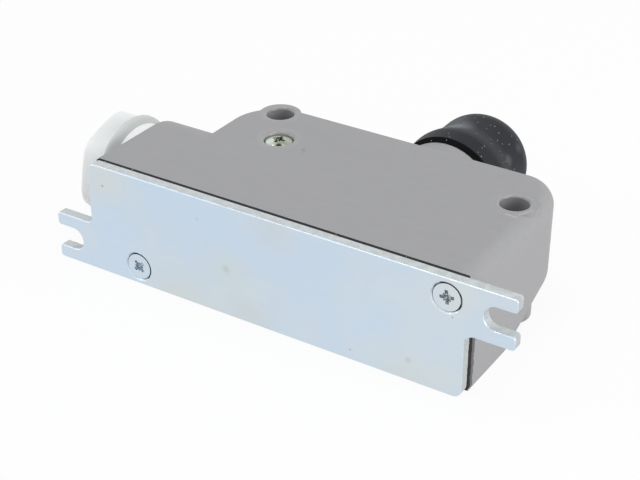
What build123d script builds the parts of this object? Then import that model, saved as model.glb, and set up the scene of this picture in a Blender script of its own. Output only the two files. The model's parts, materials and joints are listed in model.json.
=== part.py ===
from build123d import *
from math import cos, radians, sin, tan
import os

# A plunger limit switch in a die cast case, lying on its flat side.
# X runs along the base plate, away from the conduit. Y runs from the base
# plate to the plunger. Z runs through the thickness of the case, upwards.
# The origin is the middle of the base plate's mounting face. Millimetres.

os.makedirs("parts", exist_ok=True)

# Base plate, with one open slot at each end for a mounting screw
thickness = 28.0
plate_length = 98.3
plate_gauge = 2.5
plate_corner = 2.0
tab_reach = 10.6
tab_height = 12.0
tab_corner = 1.5
tab_root = 1.6
plate_edge = 0.3
plate_overhang_left = 0.85
plate_overhang_right = 0.65
slot_width = 5.6
slot_depth = 7.3

# Gasket under the plate
gasket_gauge = 0.9
gasket_inset = 0.1
gasket_rim = 3.0

# Case casting
case_depth = 45.8
case_wall = 2.2
slope_wall = 2.2
case_left_corner = 11.5
case_right_corner = 10.0
case_edge = 0.8
end_edge = 4.0
slope_start = 23.0
slope_angle = 23.0
case_floor_edge = 1.0

# Conduit hub on the left end of the case
hub_length = 14.0
hub_axis_y = 23.85
hub_bore = 10.2
hub_mouth_chamfer = 0.8

# Holes through the case for side mounting
side_hole = 3.3
mouth_edge = 0.4
left_hole_in = 7.9
left_hole_drop = 3.5
right_hole_in = 6.7
right_hole_drop = 13.9
left_pillar = 5.1
lobe_blend = 2.5
right_pillar = 5.5
pad_ring = 4.4
pad_groove = 0.6
pad_groove_depth = 0.15

# Cover screws, countersunk with a cross recess
cover_screw_left_out = 1.5
cover_screw_left_inset = 4.5
cover_screw_right_in = 4.4
cover_screw_right_inset = 4.6
cover_screw_shank = 1.7
cover_screw_head = 3.2
cover_screw_length = 11.0
cover_screw_post = 3.2
cover_screw_post_length = 16.0
countersink_play = 0.3
head_sunk = 0.2
thread_play = 0.05
hole_play = 0.3

# Side screw that holds the switch bracket
side_screw_x = -19.0
side_screw_rise = 5.0
side_screw_shank = 1.45
side_screw_head = 3.2
side_screw_head_height = 1.8
side_screw_dome = 0.4
side_screw_sunk = 0.3
side_screw_recess = 3.45
side_screw_pad = 5.5
side_screw_length = 6.5

# Cross recess of all the screws
recess_half_width = 0.42
recess_reach = 0.52
recess_tick_reach = 0.36
recess_tick_half_width = 0.2
recess_tick_depth = 0.6
recess_depth = 1.2
recess_taper = 12.0

# Plunger and its bushing
plunger_x = 14.6
boss_inset = 1.4
boss_length = 8.3
boss_bore = 8.0
bushing_wall = 2.9
bushing_inside = 2.5
bushing_flange = 10.0
bushing_flange_gauge = 1.5
running_play = 0.05
stem_radius = 5.0
stem_bore = 3.3
stem_bore_length = 18.0
stem_inside = 6.6
spigot_radius = 3.0
spigot_length = 3.5
plunger_travel = 6.0
button_radius = 8.0
button_height = 6.0
button_round = 3.0
button_standoff = 13.0
clip_gauge = 0.8
clip_radius = 7.5
clip_groove = 0.9
clip_gap_half_angle = 35.0
clip_play = 0.05

# Transfer pin with the overtravel spring behind its head
transfer_radius = 1.6
transfer_play = 0.08
transfer_head_height = 2.0
retainer_height = 2.4
retainer_play = 0.1
overtravel_wire = 0.35
overtravel_coil = 2.5
overtravel_turns = 7.0
return_wire = 0.5
return_coil = 6.7
return_turns = 5.0
spring_end_play = 0.05

# Rubber boot
boot_lip_wall = 1.15
boot_lip_height = 5.2
boot_lip_over = 2.5
boot_rim_rise = 1.2
boot_rim_wall = 0.9
boot_mouth = 0.1
boot_body_height = 13.0
boot_button_gap = 2.7
boot_wall = 1.6
boot_round = 8.2
boot_crown = 3.0
boot_play = 0.1
crown_play = 0.3

# Basic switch inside the case
switch_length = 49.2
switch_height = 24.2
switch_width = 17.45
switch_back = 7.5
switch_foot_gap = 1.4
switch_split = 7.7
switch_wall = 2.0
switch_pin_radius = 2.0
switch_pin_stand = 1.4
switch_pin_collar = 3.0
switch_pin_collar_height = 2.2
switch_pin_play = 0.05
switch_hole = 2.1
switch_hole_inset = 11.9
switch_hole_drop = 17.0
switch_hole_pillar = 3.6
switch_pin_travel = 1.0

# Bracket between the switch and the case
bracket_gauge = 1.2
bracket_margin = 1.6
bracket_ear = 10.0
bracket_collar = 3.1
bracket_collar_height = 2.5
peg_radius = 1.5
peg_play = 0.1
pad_radius = 5.0
switch_screw_shank = 1.95
switch_screw_head = 3.6
switch_screw_head_height = 1.6

# Contacts and terminals
strip_gauge = 1.0
strip_width = 5.4
tab_outside = 7.0
strip_height = 2.7
strip_split = 0.7
blade_gauge = 0.5
blade_width = 5.0
blade_height = 12.7
blade_tip_inset = 4.0
blade_window_width = 2.0
blade_window_length = 17.0
contact_inset = 6.0
contact_radius = 1.8
contact_height = 1.0
contact_play = 0.05
shelf_half_length = 1.9
terminal_screw_shank = 1.6
terminal_screw_head = 2.7
terminal_screw_head_height = 1.6
terminal_screw_length = 3.6

# Plastic cap that closes the conduit
cap_flat_inset = 1.5
cap_corner_inset = 0.6
cap_turn = 17.5
cap_head_height = 6.0
cap_flange_inset = 0.2
cap_flange_gauge = 1.0
cap_neck_inset = 2.0
cap_neck_length = 4.7
cap_taper_length = 2.0
cap_spigot_play = 0.1
cap_spigot_length = 10.0
cap_wall = 2.2
cap_edge = 0.9

# Places worked out from the sizes above
half = thickness / 2
plate_end = plate_length / 2
tab_tip = plate_end + tab_reach
slot_apex = tab_tip - slot_depth
slot_centre_z = half - tab_height / 2
case_front = plate_gauge + gasket_gauge
case_back = case_front + case_depth
hub_end = plate_overhang_left - plate_end
case_left = hub_end + hub_length
case_right = plate_end - plate_overhang_right
left_hole_x = case_left + left_hole_in
left_hole_y = case_back - left_hole_drop
right_hole_x = case_right - right_hole_in
right_hole_y = case_back - right_hole_drop
boss_radius = half - boss_inset
roof = half - case_wall
slope = tan(radians(slope_angle))
wall_on_slope = slope_wall / cos(radians(slope_angle))
barrel_start = slope_start + (half - boss_radius) / slope
boss_end = case_back + boss_length
lip_face = boss_end - boot_lip_over
bushing_end = case_back - case_wall - bushing_inside
flange_end = boss_end + bushing_flange_gauge
button_base = flange_end + button_standoff
button_top = button_base + button_height
clip_top = bushing_end - clip_play
stem_end = clip_top - clip_gauge - (stem_inside - clip_gauge)
stem_bore_end = stem_end + stem_bore_length
switch_x = plunger_x - switch_back
switch_left = switch_x - switch_length / 2
switch_right = switch_x + switch_length / 2
switch_bottom = case_front + switch_foot_gap
switch_top = switch_bottom + switch_height
side_screw_y = switch_top + side_screw_rise
switch_join = switch_top - switch_split
switch_side = switch_width / 2
pin_top = switch_top + switch_pin_stand
hole_y = switch_top - switch_hole_drop
bracket_top = switch_side + bracket_gauge
strip_y = switch_bottom + strip_height
blade_y = switch_bottom + blade_height
pivot_x = switch_left + switch_wall + 2 * strip_gauge
contact_x = switch_right - contact_inset
swing = switch_pin_travel / (plunger_x - pivot_x)
boot_lip_radius = boss_radius + boot_lip_wall
boot_body_radius = button_radius + boot_button_gap + boot_wall
boot_neck_radius = (boot_lip_radius + boot_body_radius) / 2
boot_neck_height = (boot_lip_height + boot_body_height) / 2
boot_end = button_top + crown_play + boot_crown
plunger_axis = Axis((plunger_x, 0, 0), (0, 1, 0))
cover_screw_left_x = case_left - cover_screw_left_out
cover_screw_right_x = case_right - cover_screw_right_in
cover_screw_right_z = half - cover_screw_right_inset
cover_screws_at = (
    (cover_screw_left_x, cover_screw_left_inset - half),
    (cover_screw_right_x, cover_screw_right_z),
)
side_holes_at = (
    (left_hole_x, left_hole_y, left_pillar),
    (right_hole_x, right_hole_y, right_pillar),
)
switch_holes_x = (switch_left + switch_hole_inset, switch_right - switch_hole_inset)


def facing_front(y):
    """A plane across Y whose normal points at the base plate; local axes are X and Z."""
    return Plane(origin=(0, y, 0), x_dir=(1, 0, 0), z_dir=(0, -1, 0))


def facing_back(y):
    """A plane across Y whose normal points at the plunger; local axes are X and -Z."""
    return Plane(origin=(0, y, 0), x_dir=(1, 0, 0), z_dir=(0, 1, 0))


def save(piece, name):
    piece.part.label = name
    export_step(piece.part, f"parts/{name}.step")


# Base plate: one blank with a slotted tab at the upper right, turned for the lower left
with BuildPart() as cover_plate:
    with BuildSketch(facing_front(plate_gauge)):
        Rectangle(plate_length, thickness)
        with Locations(
            (plate_end + tab_reach / 2, slot_centre_z),
            (-plate_end - tab_reach / 2, -slot_centre_z),
        ):
            Rectangle(tab_reach, tab_height)
        slot_half = (slot_depth + slot_width / 2) / 2
        for side in (1, -1):
            with Locations((side * (tab_tip - slot_depth + slot_width / 2), side * slot_centre_z)):
                Circle(slot_width / 2, mode=Mode.SUBTRACT)
            with Locations((side * (tab_tip - slot_depth + slot_width / 2 + slot_half), side * slot_centre_z)):
                Rectangle(2 * slot_half, slot_width, mode=Mode.SUBTRACT)
    extrude(amount=plate_gauge)
    upright = cover_plate.edges().filter_by(Axis.Y)
    fillet(upright.filter_by(lambda e: abs(e.center().X) > tab_tip - 0.1), radius=tab_corner)
    upright = cover_plate.edges().filter_by(Axis.Y)
    roots = upright.filter_by(
        lambda e: abs(abs(e.center().X) - plate_end) < 0.1
        and abs(abs(e.center().Z) - (half - tab_height)) < 0.1
    )
    fillet(roots, radius=tab_root)
    upright = cover_plate.edges().filter_by(Axis.Y)
    corners = upright.filter_by(
        lambda e: abs(abs(e.center().X) - plate_end) < 0.1 and abs(e.center().Z) > half - 0.1
        and e.center().X * e.center().Z < 0
    )
    fillet(corners, radius=plate_corner)
    fillet(cover_plate.faces().sort_by(Axis.Y)[0].outer_wire().edges(), radius=plate_edge)
    with Locations(facing_front(0)):
        with Locations(*cover_screws_at):
            CounterSinkHole(
                radius=cover_screw_shank + hole_play,
                counter_sink_radius=cover_screw_head + countersink_play,
                depth=plate_gauge,
                counter_sink_angle=90,
            )
save(cover_plate, "cover_plate")


# Gasket: a rim under the plate, widened round the right cover screw
gasket_left = hub_end + gasket_inset
gasket_right = plate_end - gasket_inset
window_left = case_left + gasket_rim
window_right = case_right - gasket_rim
with BuildPart() as cover_gasket:
    with BuildSketch(facing_front(case_front)):
        with Locations(((gasket_left + gasket_right) / 2, 0)):
            Rectangle(gasket_right - gasket_left, thickness - gasket_inset)
        with Locations(((window_left + window_right) / 2, 0)):
            Rectangle(window_right - window_left, thickness - 2 * gasket_rim, mode=Mode.SUBTRACT)
        with Locations((cover_screw_right_x, cover_screw_right_z)):
            Circle(cover_screw_post)
        with Locations(*cover_screws_at):
            Circle(cover_screw_shank + hole_play, mode=Mode.SUBTRACT)
    extrude(amount=gasket_gauge)
save(cover_gasket, "cover_gasket")


# The hollow of the case: the plan and the side profile together, less pillars and posts
with BuildPart() as hollow:
    with BuildSketch(Plane.XY.offset(-half)) as inner_plan:
        inner_left = case_left + case_wall
        inner_right = case_right - case_wall
        inner_back = case_back - case_wall
        with Locations(((inner_left + inner_right) / 2, (case_front + inner_back) / 2)):
            Rectangle(inner_right - inner_left, inner_back - case_front)
        fillet(inner_plan.vertices().group_by(Axis.Y)[-1].sort_by(Axis.X)[0], case_left_corner - case_wall)
        fillet(inner_plan.vertices().group_by(Axis.Y)[-1].sort_by(Axis.X)[-1], case_right_corner - case_wall)
    extrude(amount=thickness)
    with BuildSketch(Plane.YZ.offset(case_left)):
        with BuildLine():
            Polyline(
                (case_front, -roof),
                (slope_start + (half - roof - wall_on_slope) / slope, -roof),
                (inner_back, -half + wall_on_slope + (inner_back - slope_start) * slope),
                (inner_back, roof),
                (case_front, roof),
                close=True,
            )
        make_face()
    extrude(amount=case_right - case_left, mode=Mode.INTERSECT)
    with BuildSketch(facing_back(barrel_start + slope_wall)):
        with Locations((plunger_x, 0)):
            Circle(boss_radius - case_wall)
    extrude(amount=inner_back - barrel_start - slope_wall)
    for x, y, pillar in side_holes_at:
        with BuildSketch(Plane.XY.offset(-half)):
            with Locations((x, y)):
                Circle(pillar)
        extrude(amount=thickness, mode=Mode.SUBTRACT)
    with BuildSketch(facing_back(case_front)):
        with Locations((cover_screw_right_x, -cover_screw_right_z)):
            Circle(cover_screw_post)
    extrude(amount=cover_screw_post_length, mode=Mode.SUBTRACT)
    with BuildSketch(Plane.XY.offset(bracket_top)):
        with Locations((side_screw_x, side_screw_y)):
            Circle(side_screw_pad)
        with Locations(*[(x, hole_y) for x in switch_holes_x]):
            Circle(pad_radius)
    extrude(amount=half - bracket_top, mode=Mode.SUBTRACT)


# A larger block whose upper edge is rounded more: it softens the right end of the case
with BuildPart() as soft_end:
    with BuildSketch(Plane.XY.offset(-half)) as end_plan:
        with Locations(((case_left + case_right) / 2 - end_edge, (case_front + case_back) / 2)):
            Rectangle(case_right - case_left + 2 * end_edge, case_depth + 2 * end_edge)
        fillet(end_plan.vertices().group_by(Axis.Y)[-1].sort_by(Axis.X)[-1], case_right_corner + end_edge)
    extrude(amount=thickness)
    upper = soft_end.faces().sort_by(Axis.Z)[-1].edges()
    fillet(upper.filter_by(lambda e: e.center().X > case_right_corner), radius=end_edge)


# Case casting
peg_x = switch_right - bracket_margin - 2 * peg_radius
peg_y = switch_top + bracket_ear / 2 - peg_radius
with BuildPart() as housing:
    with BuildSketch(Plane.XY.offset(-half)) as outer_plan:
        with Locations(((case_left + case_right) / 2, (case_front + case_back) / 2)):
            Rectangle(case_right - case_left, case_back - case_front)
        fillet(outer_plan.vertices().group_by(Axis.Y)[-1].sort_by(Axis.X)[0], case_left_corner)
        fillet(outer_plan.vertices().group_by(Axis.Y)[-1].sort_by(Axis.X)[-1], case_right_corner)
        with Locations((left_hole_x, left_hole_y)):
            Circle(left_pillar)
        lobe_ends = outer_plan.vertices().filter_by(
            lambda v: abs((Vector(v) - Vector(left_hole_x, left_hole_y)).length - left_pillar) < 0.01
        )
        fillet(lobe_ends.sort_by(Axis.Y)[0], lobe_blend)
    extrude(amount=thickness)
    reach = 2 * case_depth
    with BuildSketch(Plane.YZ.offset(case_left - case_wall)):
        with BuildLine():
            Polyline(
                (slope_start, -half),
                (slope_start + reach, -half),
                (slope_start + reach, -half + reach * slope),
                close=True,
            )
        make_face()
    extrude(amount=case_right - case_left + 2 * case_wall, mode=Mode.SUBTRACT)
    rim = housing.faces().sort_by(Axis.Z)[-1].edges()
    fillet(rim.filter_by(lambda e: e.center().Y > case_front + 0.1), radius=case_edge)
    add(soft_end.part, mode=Mode.INTERSECT)
    slanted = housing.faces().filter_by(
        lambda f: f.normal_at().Z < -0.5 and f.normal_at().Y > 0.1
    )
    fillet(slanted.edges().filter_by(lambda e: e.center().Y > slope_start + 0.1), radius=case_floor_edge)
    # Conduit hub: a round end on a square root, as wide as the case is thick
    with BuildSketch(Plane.YZ.offset(hub_end)):
        with Locations(((case_front + hub_axis_y) / 2, 0)):
            Rectangle(hub_axis_y - case_front, thickness)
        with Locations((hub_axis_y, 0)):
            Circle(half)
    extrude(amount=hub_length + case_edge)
    # Plunger barrel, which runs down under the slope
    with BuildSketch(facing_back(barrel_start)):
        with Locations((plunger_x, 0)):
            Circle(boss_radius)
    extrude(amount=boss_end - barrel_start)
    for x, y, pillar in side_holes_at:
        with BuildSketch(Plane.XY.offset(-half)):
            with Locations((x, y)):
                Circle(pillar)
        extrude(amount=thickness)
    add(hollow.part, mode=Mode.SUBTRACT)
    # Peg that locates the bracket
    with BuildSketch(Plane.XY.offset(switch_side)):
        with Locations((peg_x, peg_y)):
            Circle(peg_radius)
    extrude(amount=half - switch_side - case_wall / 2)
    # Bores
    with BuildSketch(Plane.YZ.offset(hub_end)):
        with Locations((hub_axis_y, 0)):
            Circle(hub_bore)
    extrude(amount=hub_length + case_wall, mode=Mode.SUBTRACT)
    with BuildSketch(facing_front(boss_end)):
        with Locations((plunger_x, 0)):
            Circle(boss_bore)
    extrude(amount=boss_length + 2 * case_wall, mode=Mode.SUBTRACT)
    for x, y, pillar in side_holes_at:
        with BuildSketch(Plane.XY.offset(-half)):
            with Locations((x, y)):
                Circle(side_hole)
        extrude(amount=thickness, mode=Mode.SUBTRACT)
    with BuildSketch(Plane.XY.offset(half - pad_groove_depth)):
        with Locations((right_hole_x, right_hole_y)):
            Circle(pad_ring + pad_groove)
            Circle(pad_ring, mode=Mode.SUBTRACT)
    extrude(amount=pad_groove_depth, mode=Mode.SUBTRACT)
    with BuildSketch(facing_back(case_front)):
        with Locations(*[(x, -z) for x, z in cover_screws_at]):
            Circle(cover_screw_shank + thread_play)
    extrude(amount=cover_screw_length, mode=Mode.SUBTRACT)
    with BuildSketch(Plane.XY.offset(half - side_screw_sunk - side_screw_head_height)):
        with Locations((side_screw_x, side_screw_y)):
            Circle(side_screw_recess)
    extrude(amount=side_screw_sunk + side_screw_head_height, mode=Mode.SUBTRACT)
    with BuildSketch(Plane.XY.offset(bracket_top - case_wall)):
        with Locations((side_screw_x, side_screw_y)):
            Circle(side_screw_shank + hole_play)
    extrude(amount=thickness, mode=Mode.SUBTRACT)
    # Rounded mouths on the upper side
    mouths = housing.edges().filter_by(GeomType.CIRCLE).filter_by(
        lambda e: abs(e.center().Z - half) < 0.01
        and min(abs(e.radius - side_hole), abs(e.radius - side_screw_recess)) < 0.01
    )
    fillet(mouths, radius=mouth_edge)
save(housing, "housing")


def cross_recess(radius):
    """The outline of a cross recess for a screw head of the given radius."""
    with BuildSketch(mode=Mode.PRIVATE) as cross:
        Rectangle(2 * recess_reach * radius, 2 * recess_half_width)
        Rectangle(2 * recess_half_width, 2 * recess_reach * radius)
    return cross.sketch


def recess_ticks(radius):
    """The outline of the narrow ticks between the arms of a cross recess."""
    with BuildSketch(mode=Mode.PRIVATE) as ticks:
        Rectangle(2 * recess_tick_reach * radius, 2 * recess_tick_half_width, rotation=45)
        Rectangle(2 * recess_tick_half_width, 2 * recess_tick_reach * radius, rotation=45)
    return ticks.sketch


# Cover screws: countersunk heads just below the plate's face
with BuildPart() as cover_screws:
    cone = cover_screw_head - cover_screw_shank
    for x, z in cover_screws_at:
        with BuildSketch(Plane(origin=(x, 0, z), x_dir=(1, 0, 0), z_dir=(0, 0, 1))):
            with BuildLine():
                Polyline(
                    (0, head_sunk),
                    (cover_screw_head, head_sunk),
                    (cover_screw_shank, head_sunk + cone),
                    (cover_screw_shank, head_sunk + cover_screw_length),
                    (0, head_sunk + cover_screw_length),
                    close=True,
                )
            make_face()
        revolve(axis=Axis((x, 0, z), (0, 1, 0)))
        head_face = Plane(origin=(x, head_sunk, z), x_dir=(1, 0, 0), z_dir=(0, 1, 0))
        with BuildSketch(head_face):
            add(cross_recess(cover_screw_head))
        extrude(amount=recess_depth, taper=recess_taper, mode=Mode.SUBTRACT)
        with BuildSketch(head_face):
            add(recess_ticks(cover_screw_head))
        extrude(amount=recess_tick_depth, mode=Mode.SUBTRACT)
save(cover_screws, "cover_screws")


# Side screw: a pan head below the side face
side_seat = half - side_screw_sunk - side_screw_head_height
side_top = half - side_screw_sunk
with BuildPart() as side_screw:
    with BuildSketch(Plane(origin=(side_screw_x, side_screw_y, 0), x_dir=(1, 0, 0), z_dir=(0, -1, 0))):
        with BuildLine():
            Polyline(
                (0, side_seat - side_screw_length),
                (side_screw_shank, side_seat - side_screw_length),
                (side_screw_shank, side_seat),
                (side_screw_head, side_seat),
                (side_screw_head, side_top - side_screw_dome),
            )
            TangentArc(
                (0, side_top),
                (side_screw_head, side_top - side_screw_dome),
                tangent=(1, 0),
            )
            Line((0, side_top), (0, side_seat - side_screw_length))
        make_face()
    revolve(axis=Axis((side_screw_x, side_screw_y, 0), (0, 0, 1)))
    head_face = Plane(origin=(side_screw_x, side_screw_y, side_top), x_dir=(1, 0, 0), z_dir=(0, 0, -1))
    with BuildSketch(head_face):
        add(cross_recess(side_screw_head))
    extrude(amount=recess_depth, taper=recess_taper, mode=Mode.SUBTRACT)
    with BuildSketch(head_face):
        add(recess_ticks(side_screw_head))
    extrude(amount=recess_tick_depth, mode=Mode.SUBTRACT)
save(side_screw, "side_screw")


# Bracket: a flat plate with two ears, a threaded collar and a peg hole
plate_x0 = switch_left + bracket_margin
plate_x1 = switch_right - bracket_margin
plate_y0 = switch_bottom + bracket_margin
plate_y1 = switch_top - bracket_margin
ear_y1 = switch_top + bracket_ear - bracket_margin
ear_left0 = side_screw_x - bracket_collar - bracket_margin
ear_left1 = side_screw_x + bracket_ear
with BuildPart() as switch_bracket:
    with BuildSketch(Plane.XY.offset(switch_side)):
        with Locations(((plate_x0 + plate_x1) / 2, (plate_y0 + plate_y1) / 2)):
            Rectangle(plate_x1 - plate_x0, plate_y1 - plate_y0)
        with Locations(((ear_left0 + ear_left1) / 2, (plate_y1 - bracket_ear / 2 + ear_y1) / 2)):
            Rectangle(ear_left1 - ear_left0, ear_y1 - plate_y1 + bracket_ear / 2)
        with Locations((plate_x1 - bracket_ear / 2, (plate_y1 + ear_y1) / 2)):
            Rectangle(bracket_ear, ear_y1 - plate_y1)
    extrude(amount=bracket_gauge)
    fillet(switch_bracket.edges().filter_by(Axis.Z), radius=bracket_gauge)
    with BuildSketch(Plane.XY.offset(switch_side - bracket_collar_height)):
        with Locations((side_screw_x, side_screw_y)):
            Circle(bracket_collar)
    extrude(amount=bracket_collar_height)
    with BuildSketch(Plane.XY.offset(switch_side - bracket_collar_height)):
        with Locations((side_screw_x, side_screw_y)):
            Circle(side_screw_shank + thread_play)
    extrude(amount=bracket_collar_height + bracket_gauge, mode=Mode.SUBTRACT)
    with BuildSketch(Plane.XY.offset(switch_side)):
        with Locations(*[(x, hole_y) for x in switch_holes_x]):
            Circle(switch_screw_shank + thread_play)
        with Locations((peg_x, peg_y)):
            Circle(peg_radius + peg_play)
    extrude(amount=bracket_gauge, mode=Mode.SUBTRACT)
save(switch_bracket, "switch_bracket")


def strip_slot(x0, x1, z0, z1):
    """Cut the end wall's slot for a terminal strip, with a little play all round."""
    with Locations(((x0 + x1) / 2, strip_y + strip_gauge / 2, (z0 + z1) / 2)):
        Box(
            x1 - x0,
            strip_gauge + 2 * contact_play,
            z1 - z0 + 2 * contact_play,
            mode=Mode.SUBTRACT,
        )


# Moulded case of the basic switch: an open tray with two pillars for the mounting screws
no_z0, no_z1 = -strip_split - strip_width, -strip_split
nc_z0, nc_z1 = strip_split, strip_split + strip_width
with BuildPart() as switch_case:
    with BuildSketch(facing_back(switch_bottom)):
        with Locations((switch_x, 0)):
            Rectangle(switch_length, switch_width)
    extrude(amount=switch_join - switch_bottom)
    with BuildSketch(facing_back(switch_bottom + switch_wall)):
        with Locations((switch_x, 0)):
            Rectangle(switch_length - 2 * switch_wall, switch_width - 2 * switch_wall)
    extrude(amount=switch_height, mode=Mode.SUBTRACT)
    with BuildSketch(Plane.XY.offset(-switch_side)):
        with Locations(*[(x, hole_y) for x in switch_holes_x]):
            Circle(switch_hole_pillar)
    extrude(amount=switch_width)
    with BuildSketch(Plane.XY.offset(-switch_side)):
        with Locations(*[(x, hole_y) for x in switch_holes_x]):
            Circle(switch_hole)
    extrude(amount=switch_width, mode=Mode.SUBTRACT)
    strip_slot(switch_left, switch_left + switch_wall, -strip_width / 2, strip_width / 2)
    strip_slot(switch_right - switch_wall, switch_right, no_z0, no_z1)
    strip_slot(switch_right - switch_wall, switch_right, nc_z0, nc_z1)
save(switch_case, "switch_case")


# Cover of the basic switch, with the bore that guides its pin
with BuildPart() as switch_cover:
    with BuildSketch(facing_back(switch_join)):
        with Locations((switch_x, 0)):
            Rectangle(switch_length, switch_width)
    extrude(amount=switch_split)
    fillet(switch_cover.faces().sort_by(Axis.Y)[-1].edges(), radius=switch_wall / 4)
    with BuildSketch(facing_back(switch_join)):
        with Locations((switch_x, 0)):
            Rectangle(switch_length - 2 * switch_wall, switch_width - 2 * switch_wall)
    extrude(amount=switch_split - switch_wall, mode=Mode.SUBTRACT)
    with BuildSketch(facing_back(switch_join)):
        with Locations((plunger_x, 0)):
            Circle(switch_pin_radius + switch_pin_play)
    extrude(amount=switch_split, mode=Mode.SUBTRACT)
save(switch_cover, "switch_cover")


# Screws that hold the basic switch to the bracket
with BuildPart() as switch_screws:
    for x in switch_holes_x:
        with BuildSketch(Plane.XY.offset(-switch_side)):
            with Locations((x, hole_y)):
                Circle(switch_screw_shank)
        extrude(amount=switch_width + bracket_gauge)
        with BuildSketch(Plane.XY.offset(-switch_side - switch_screw_head_height)):
            with Locations((x, hole_y)):
                Circle(switch_screw_head)
        extrude(amount=switch_screw_head_height)
        with BuildSketch(
            Plane(origin=(x, hole_y, -switch_side - switch_screw_head_height), z_dir=(0, 0, 1))
        ):
            add(cross_recess(switch_screw_head))
        extrude(amount=recess_depth, taper=recess_taper, mode=Mode.SUBTRACT)
save(switch_screws, "switch_screws")


# Pin of the basic switch, with the collar that keeps it in the cover
with BuildPart() as switch_pin:
    collar_top = switch_top - switch_wall - contact_play
    pin_foot = blade_y + blade_gauge + 2 * contact_play
    with BuildSketch(Plane.XY):
        with BuildLine():
            Polyline(
                (plunger_x, pin_foot),
                (plunger_x + switch_pin_radius / 2, pin_foot),
                (plunger_x + switch_pin_radius, pin_foot + switch_pin_radius / 2),
                (plunger_x + switch_pin_radius, collar_top - switch_pin_collar_height),
                (plunger_x + switch_pin_collar, collar_top - switch_pin_collar_height),
                (plunger_x + switch_pin_collar, collar_top),
                (plunger_x + switch_pin_radius, collar_top),
                (plunger_x + switch_pin_radius, pin_top),
                (plunger_x, pin_top),
                close=True,
            )
        make_face()
    revolve(axis=plunger_axis)
save(switch_pin, "switch_pin")


# Moving contact: a spring strip with a window and a double contact rivet at its tip
blade_tip = switch_right - blade_tip_inset
moving_contact_top = blade_y + blade_gauge + contact_height
moving_contact_bottom = blade_y - contact_height
with BuildPart() as contact_blade:
    blade_root = switch_left + switch_wall + contact_play
    with BuildSketch(facing_back(blade_y)):
        with Locations(((blade_root + blade_tip) / 2, 0)):
            Rectangle(blade_tip - blade_root, blade_width)
        with Locations((pivot_x + strip_gauge + blade_window_length / 2, 0)):
            Rectangle(blade_window_length, blade_window_width, mode=Mode.SUBTRACT)
    extrude(amount=blade_gauge)
    with BuildSketch(facing_back(moving_contact_bottom)):
        with Locations((contact_x, 0)):
            Circle(contact_radius)
    extrude(amount=moving_contact_top - moving_contact_bottom)
save(contact_blade, "contact_blade")


def strip(x0, x1, y0, y1, z0, z1):
    """Add a stretch of flat terminal strip between the given limits."""
    with Locations(((x0 + x1) / 2, (y0 + y1) / 2, (z0 + z1) / 2)):
        Box(x1 - x0, y1 - y0, z1 - z0)


def terminal_hole(x, z):
    """Cut the threaded hole in a terminal's outer tab."""
    with Locations(facing_back(strip_y + strip_gauge)):
        with Locations((x, -z)):
            Hole(terminal_screw_shank + thread_play, depth=strip_gauge)


# Common terminal: a tab outside, a riser inside and the shelf that carries the blade
com_tab_x = switch_left - tab_outside / 2
other_tab_x = switch_right + tab_outside / 2
with BuildPart() as common_terminal:
    side = strip_width / 2
    strip(switch_left - tab_outside, pivot_x, strip_y, strip_y + strip_gauge, -side, side)
    strip(pivot_x - strip_gauge, pivot_x, strip_y, blade_y - contact_play, -side, side)
    terminal_hole(com_tab_x, 0)
save(common_terminal, "common_terminal")


# Normally open terminal: its contact waits below the moving one
open_contact_top = moving_contact_bottom - swing * (contact_x - pivot_x) - 2 * contact_play
open_shelf_top = open_contact_top - contact_height
with BuildPart() as open_terminal:
    shelf_x0 = contact_x - shelf_half_length
    shelf_x1 = contact_x + shelf_half_length
    strip(shelf_x0, switch_right + tab_outside, strip_y, strip_y + strip_gauge, no_z0, no_z1)
    strip(shelf_x0, shelf_x0 + strip_gauge, strip_y, open_shelf_top, no_z0, no_z1)
    strip(shelf_x0, shelf_x1, open_shelf_top - strip_gauge, open_shelf_top, no_z0, contact_radius)
    with BuildSketch(facing_back(open_shelf_top)):
        with Locations((contact_x, 0)):
            Circle(contact_radius)
    extrude(amount=contact_height)
    terminal_hole(other_tab_x, (no_z0 + no_z1) / 2)
save(open_terminal, "open_terminal")


# Normally closed terminal: its contact sits on the moving one at rest
closed_contact_bottom = moving_contact_top + contact_play
closed_shelf_bottom = closed_contact_bottom + contact_height
with BuildPart() as closed_terminal:
    riser_x1 = switch_right - switch_wall
    riser_x0 = riser_x1 - strip_gauge
    strip(riser_x0, switch_right + tab_outside, strip_y, strip_y + strip_gauge, nc_z0, nc_z1)
    strip(riser_x0, riser_x1, strip_y, closed_shelf_bottom + strip_gauge, nc_z0, nc_z1)
    strip(
        shelf_x0, riser_x1, closed_shelf_bottom, closed_shelf_bottom + strip_gauge,
        -contact_radius, nc_z1,
    )
    with BuildSketch(facing_back(closed_contact_bottom)):
        with Locations((contact_x, 0)):
            Circle(contact_radius)
    extrude(amount=contact_height)
    terminal_hole(other_tab_x, (nc_z0 + nc_z1) / 2)
save(closed_terminal, "closed_terminal")


# Terminal screws, heads towards the base plate
with BuildPart() as terminal_screws:
    for x, z in (
        (com_tab_x, 0),
        (other_tab_x, (no_z0 + no_z1) / 2),
        (other_tab_x, (nc_z0 + nc_z1) / 2),
    ):
        with BuildSketch(facing_back(strip_y)):
            with Locations((x, -z)):
                Circle(terminal_screw_shank)
        extrude(amount=terminal_screw_length)
        with BuildSketch(facing_front(strip_y)):
            with Locations((x, z)):
                Circle(terminal_screw_head)
        extrude(amount=terminal_screw_head_height)
        with BuildSketch(Plane(origin=(x, strip_y - terminal_screw_head_height, z), z_dir=(0, 1, 0))):
            add(cross_recess(terminal_screw_head))
        extrude(amount=recess_depth / 2, taper=recess_taper, mode=Mode.SUBTRACT)
save(terminal_screws, "terminal_screws")


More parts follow.
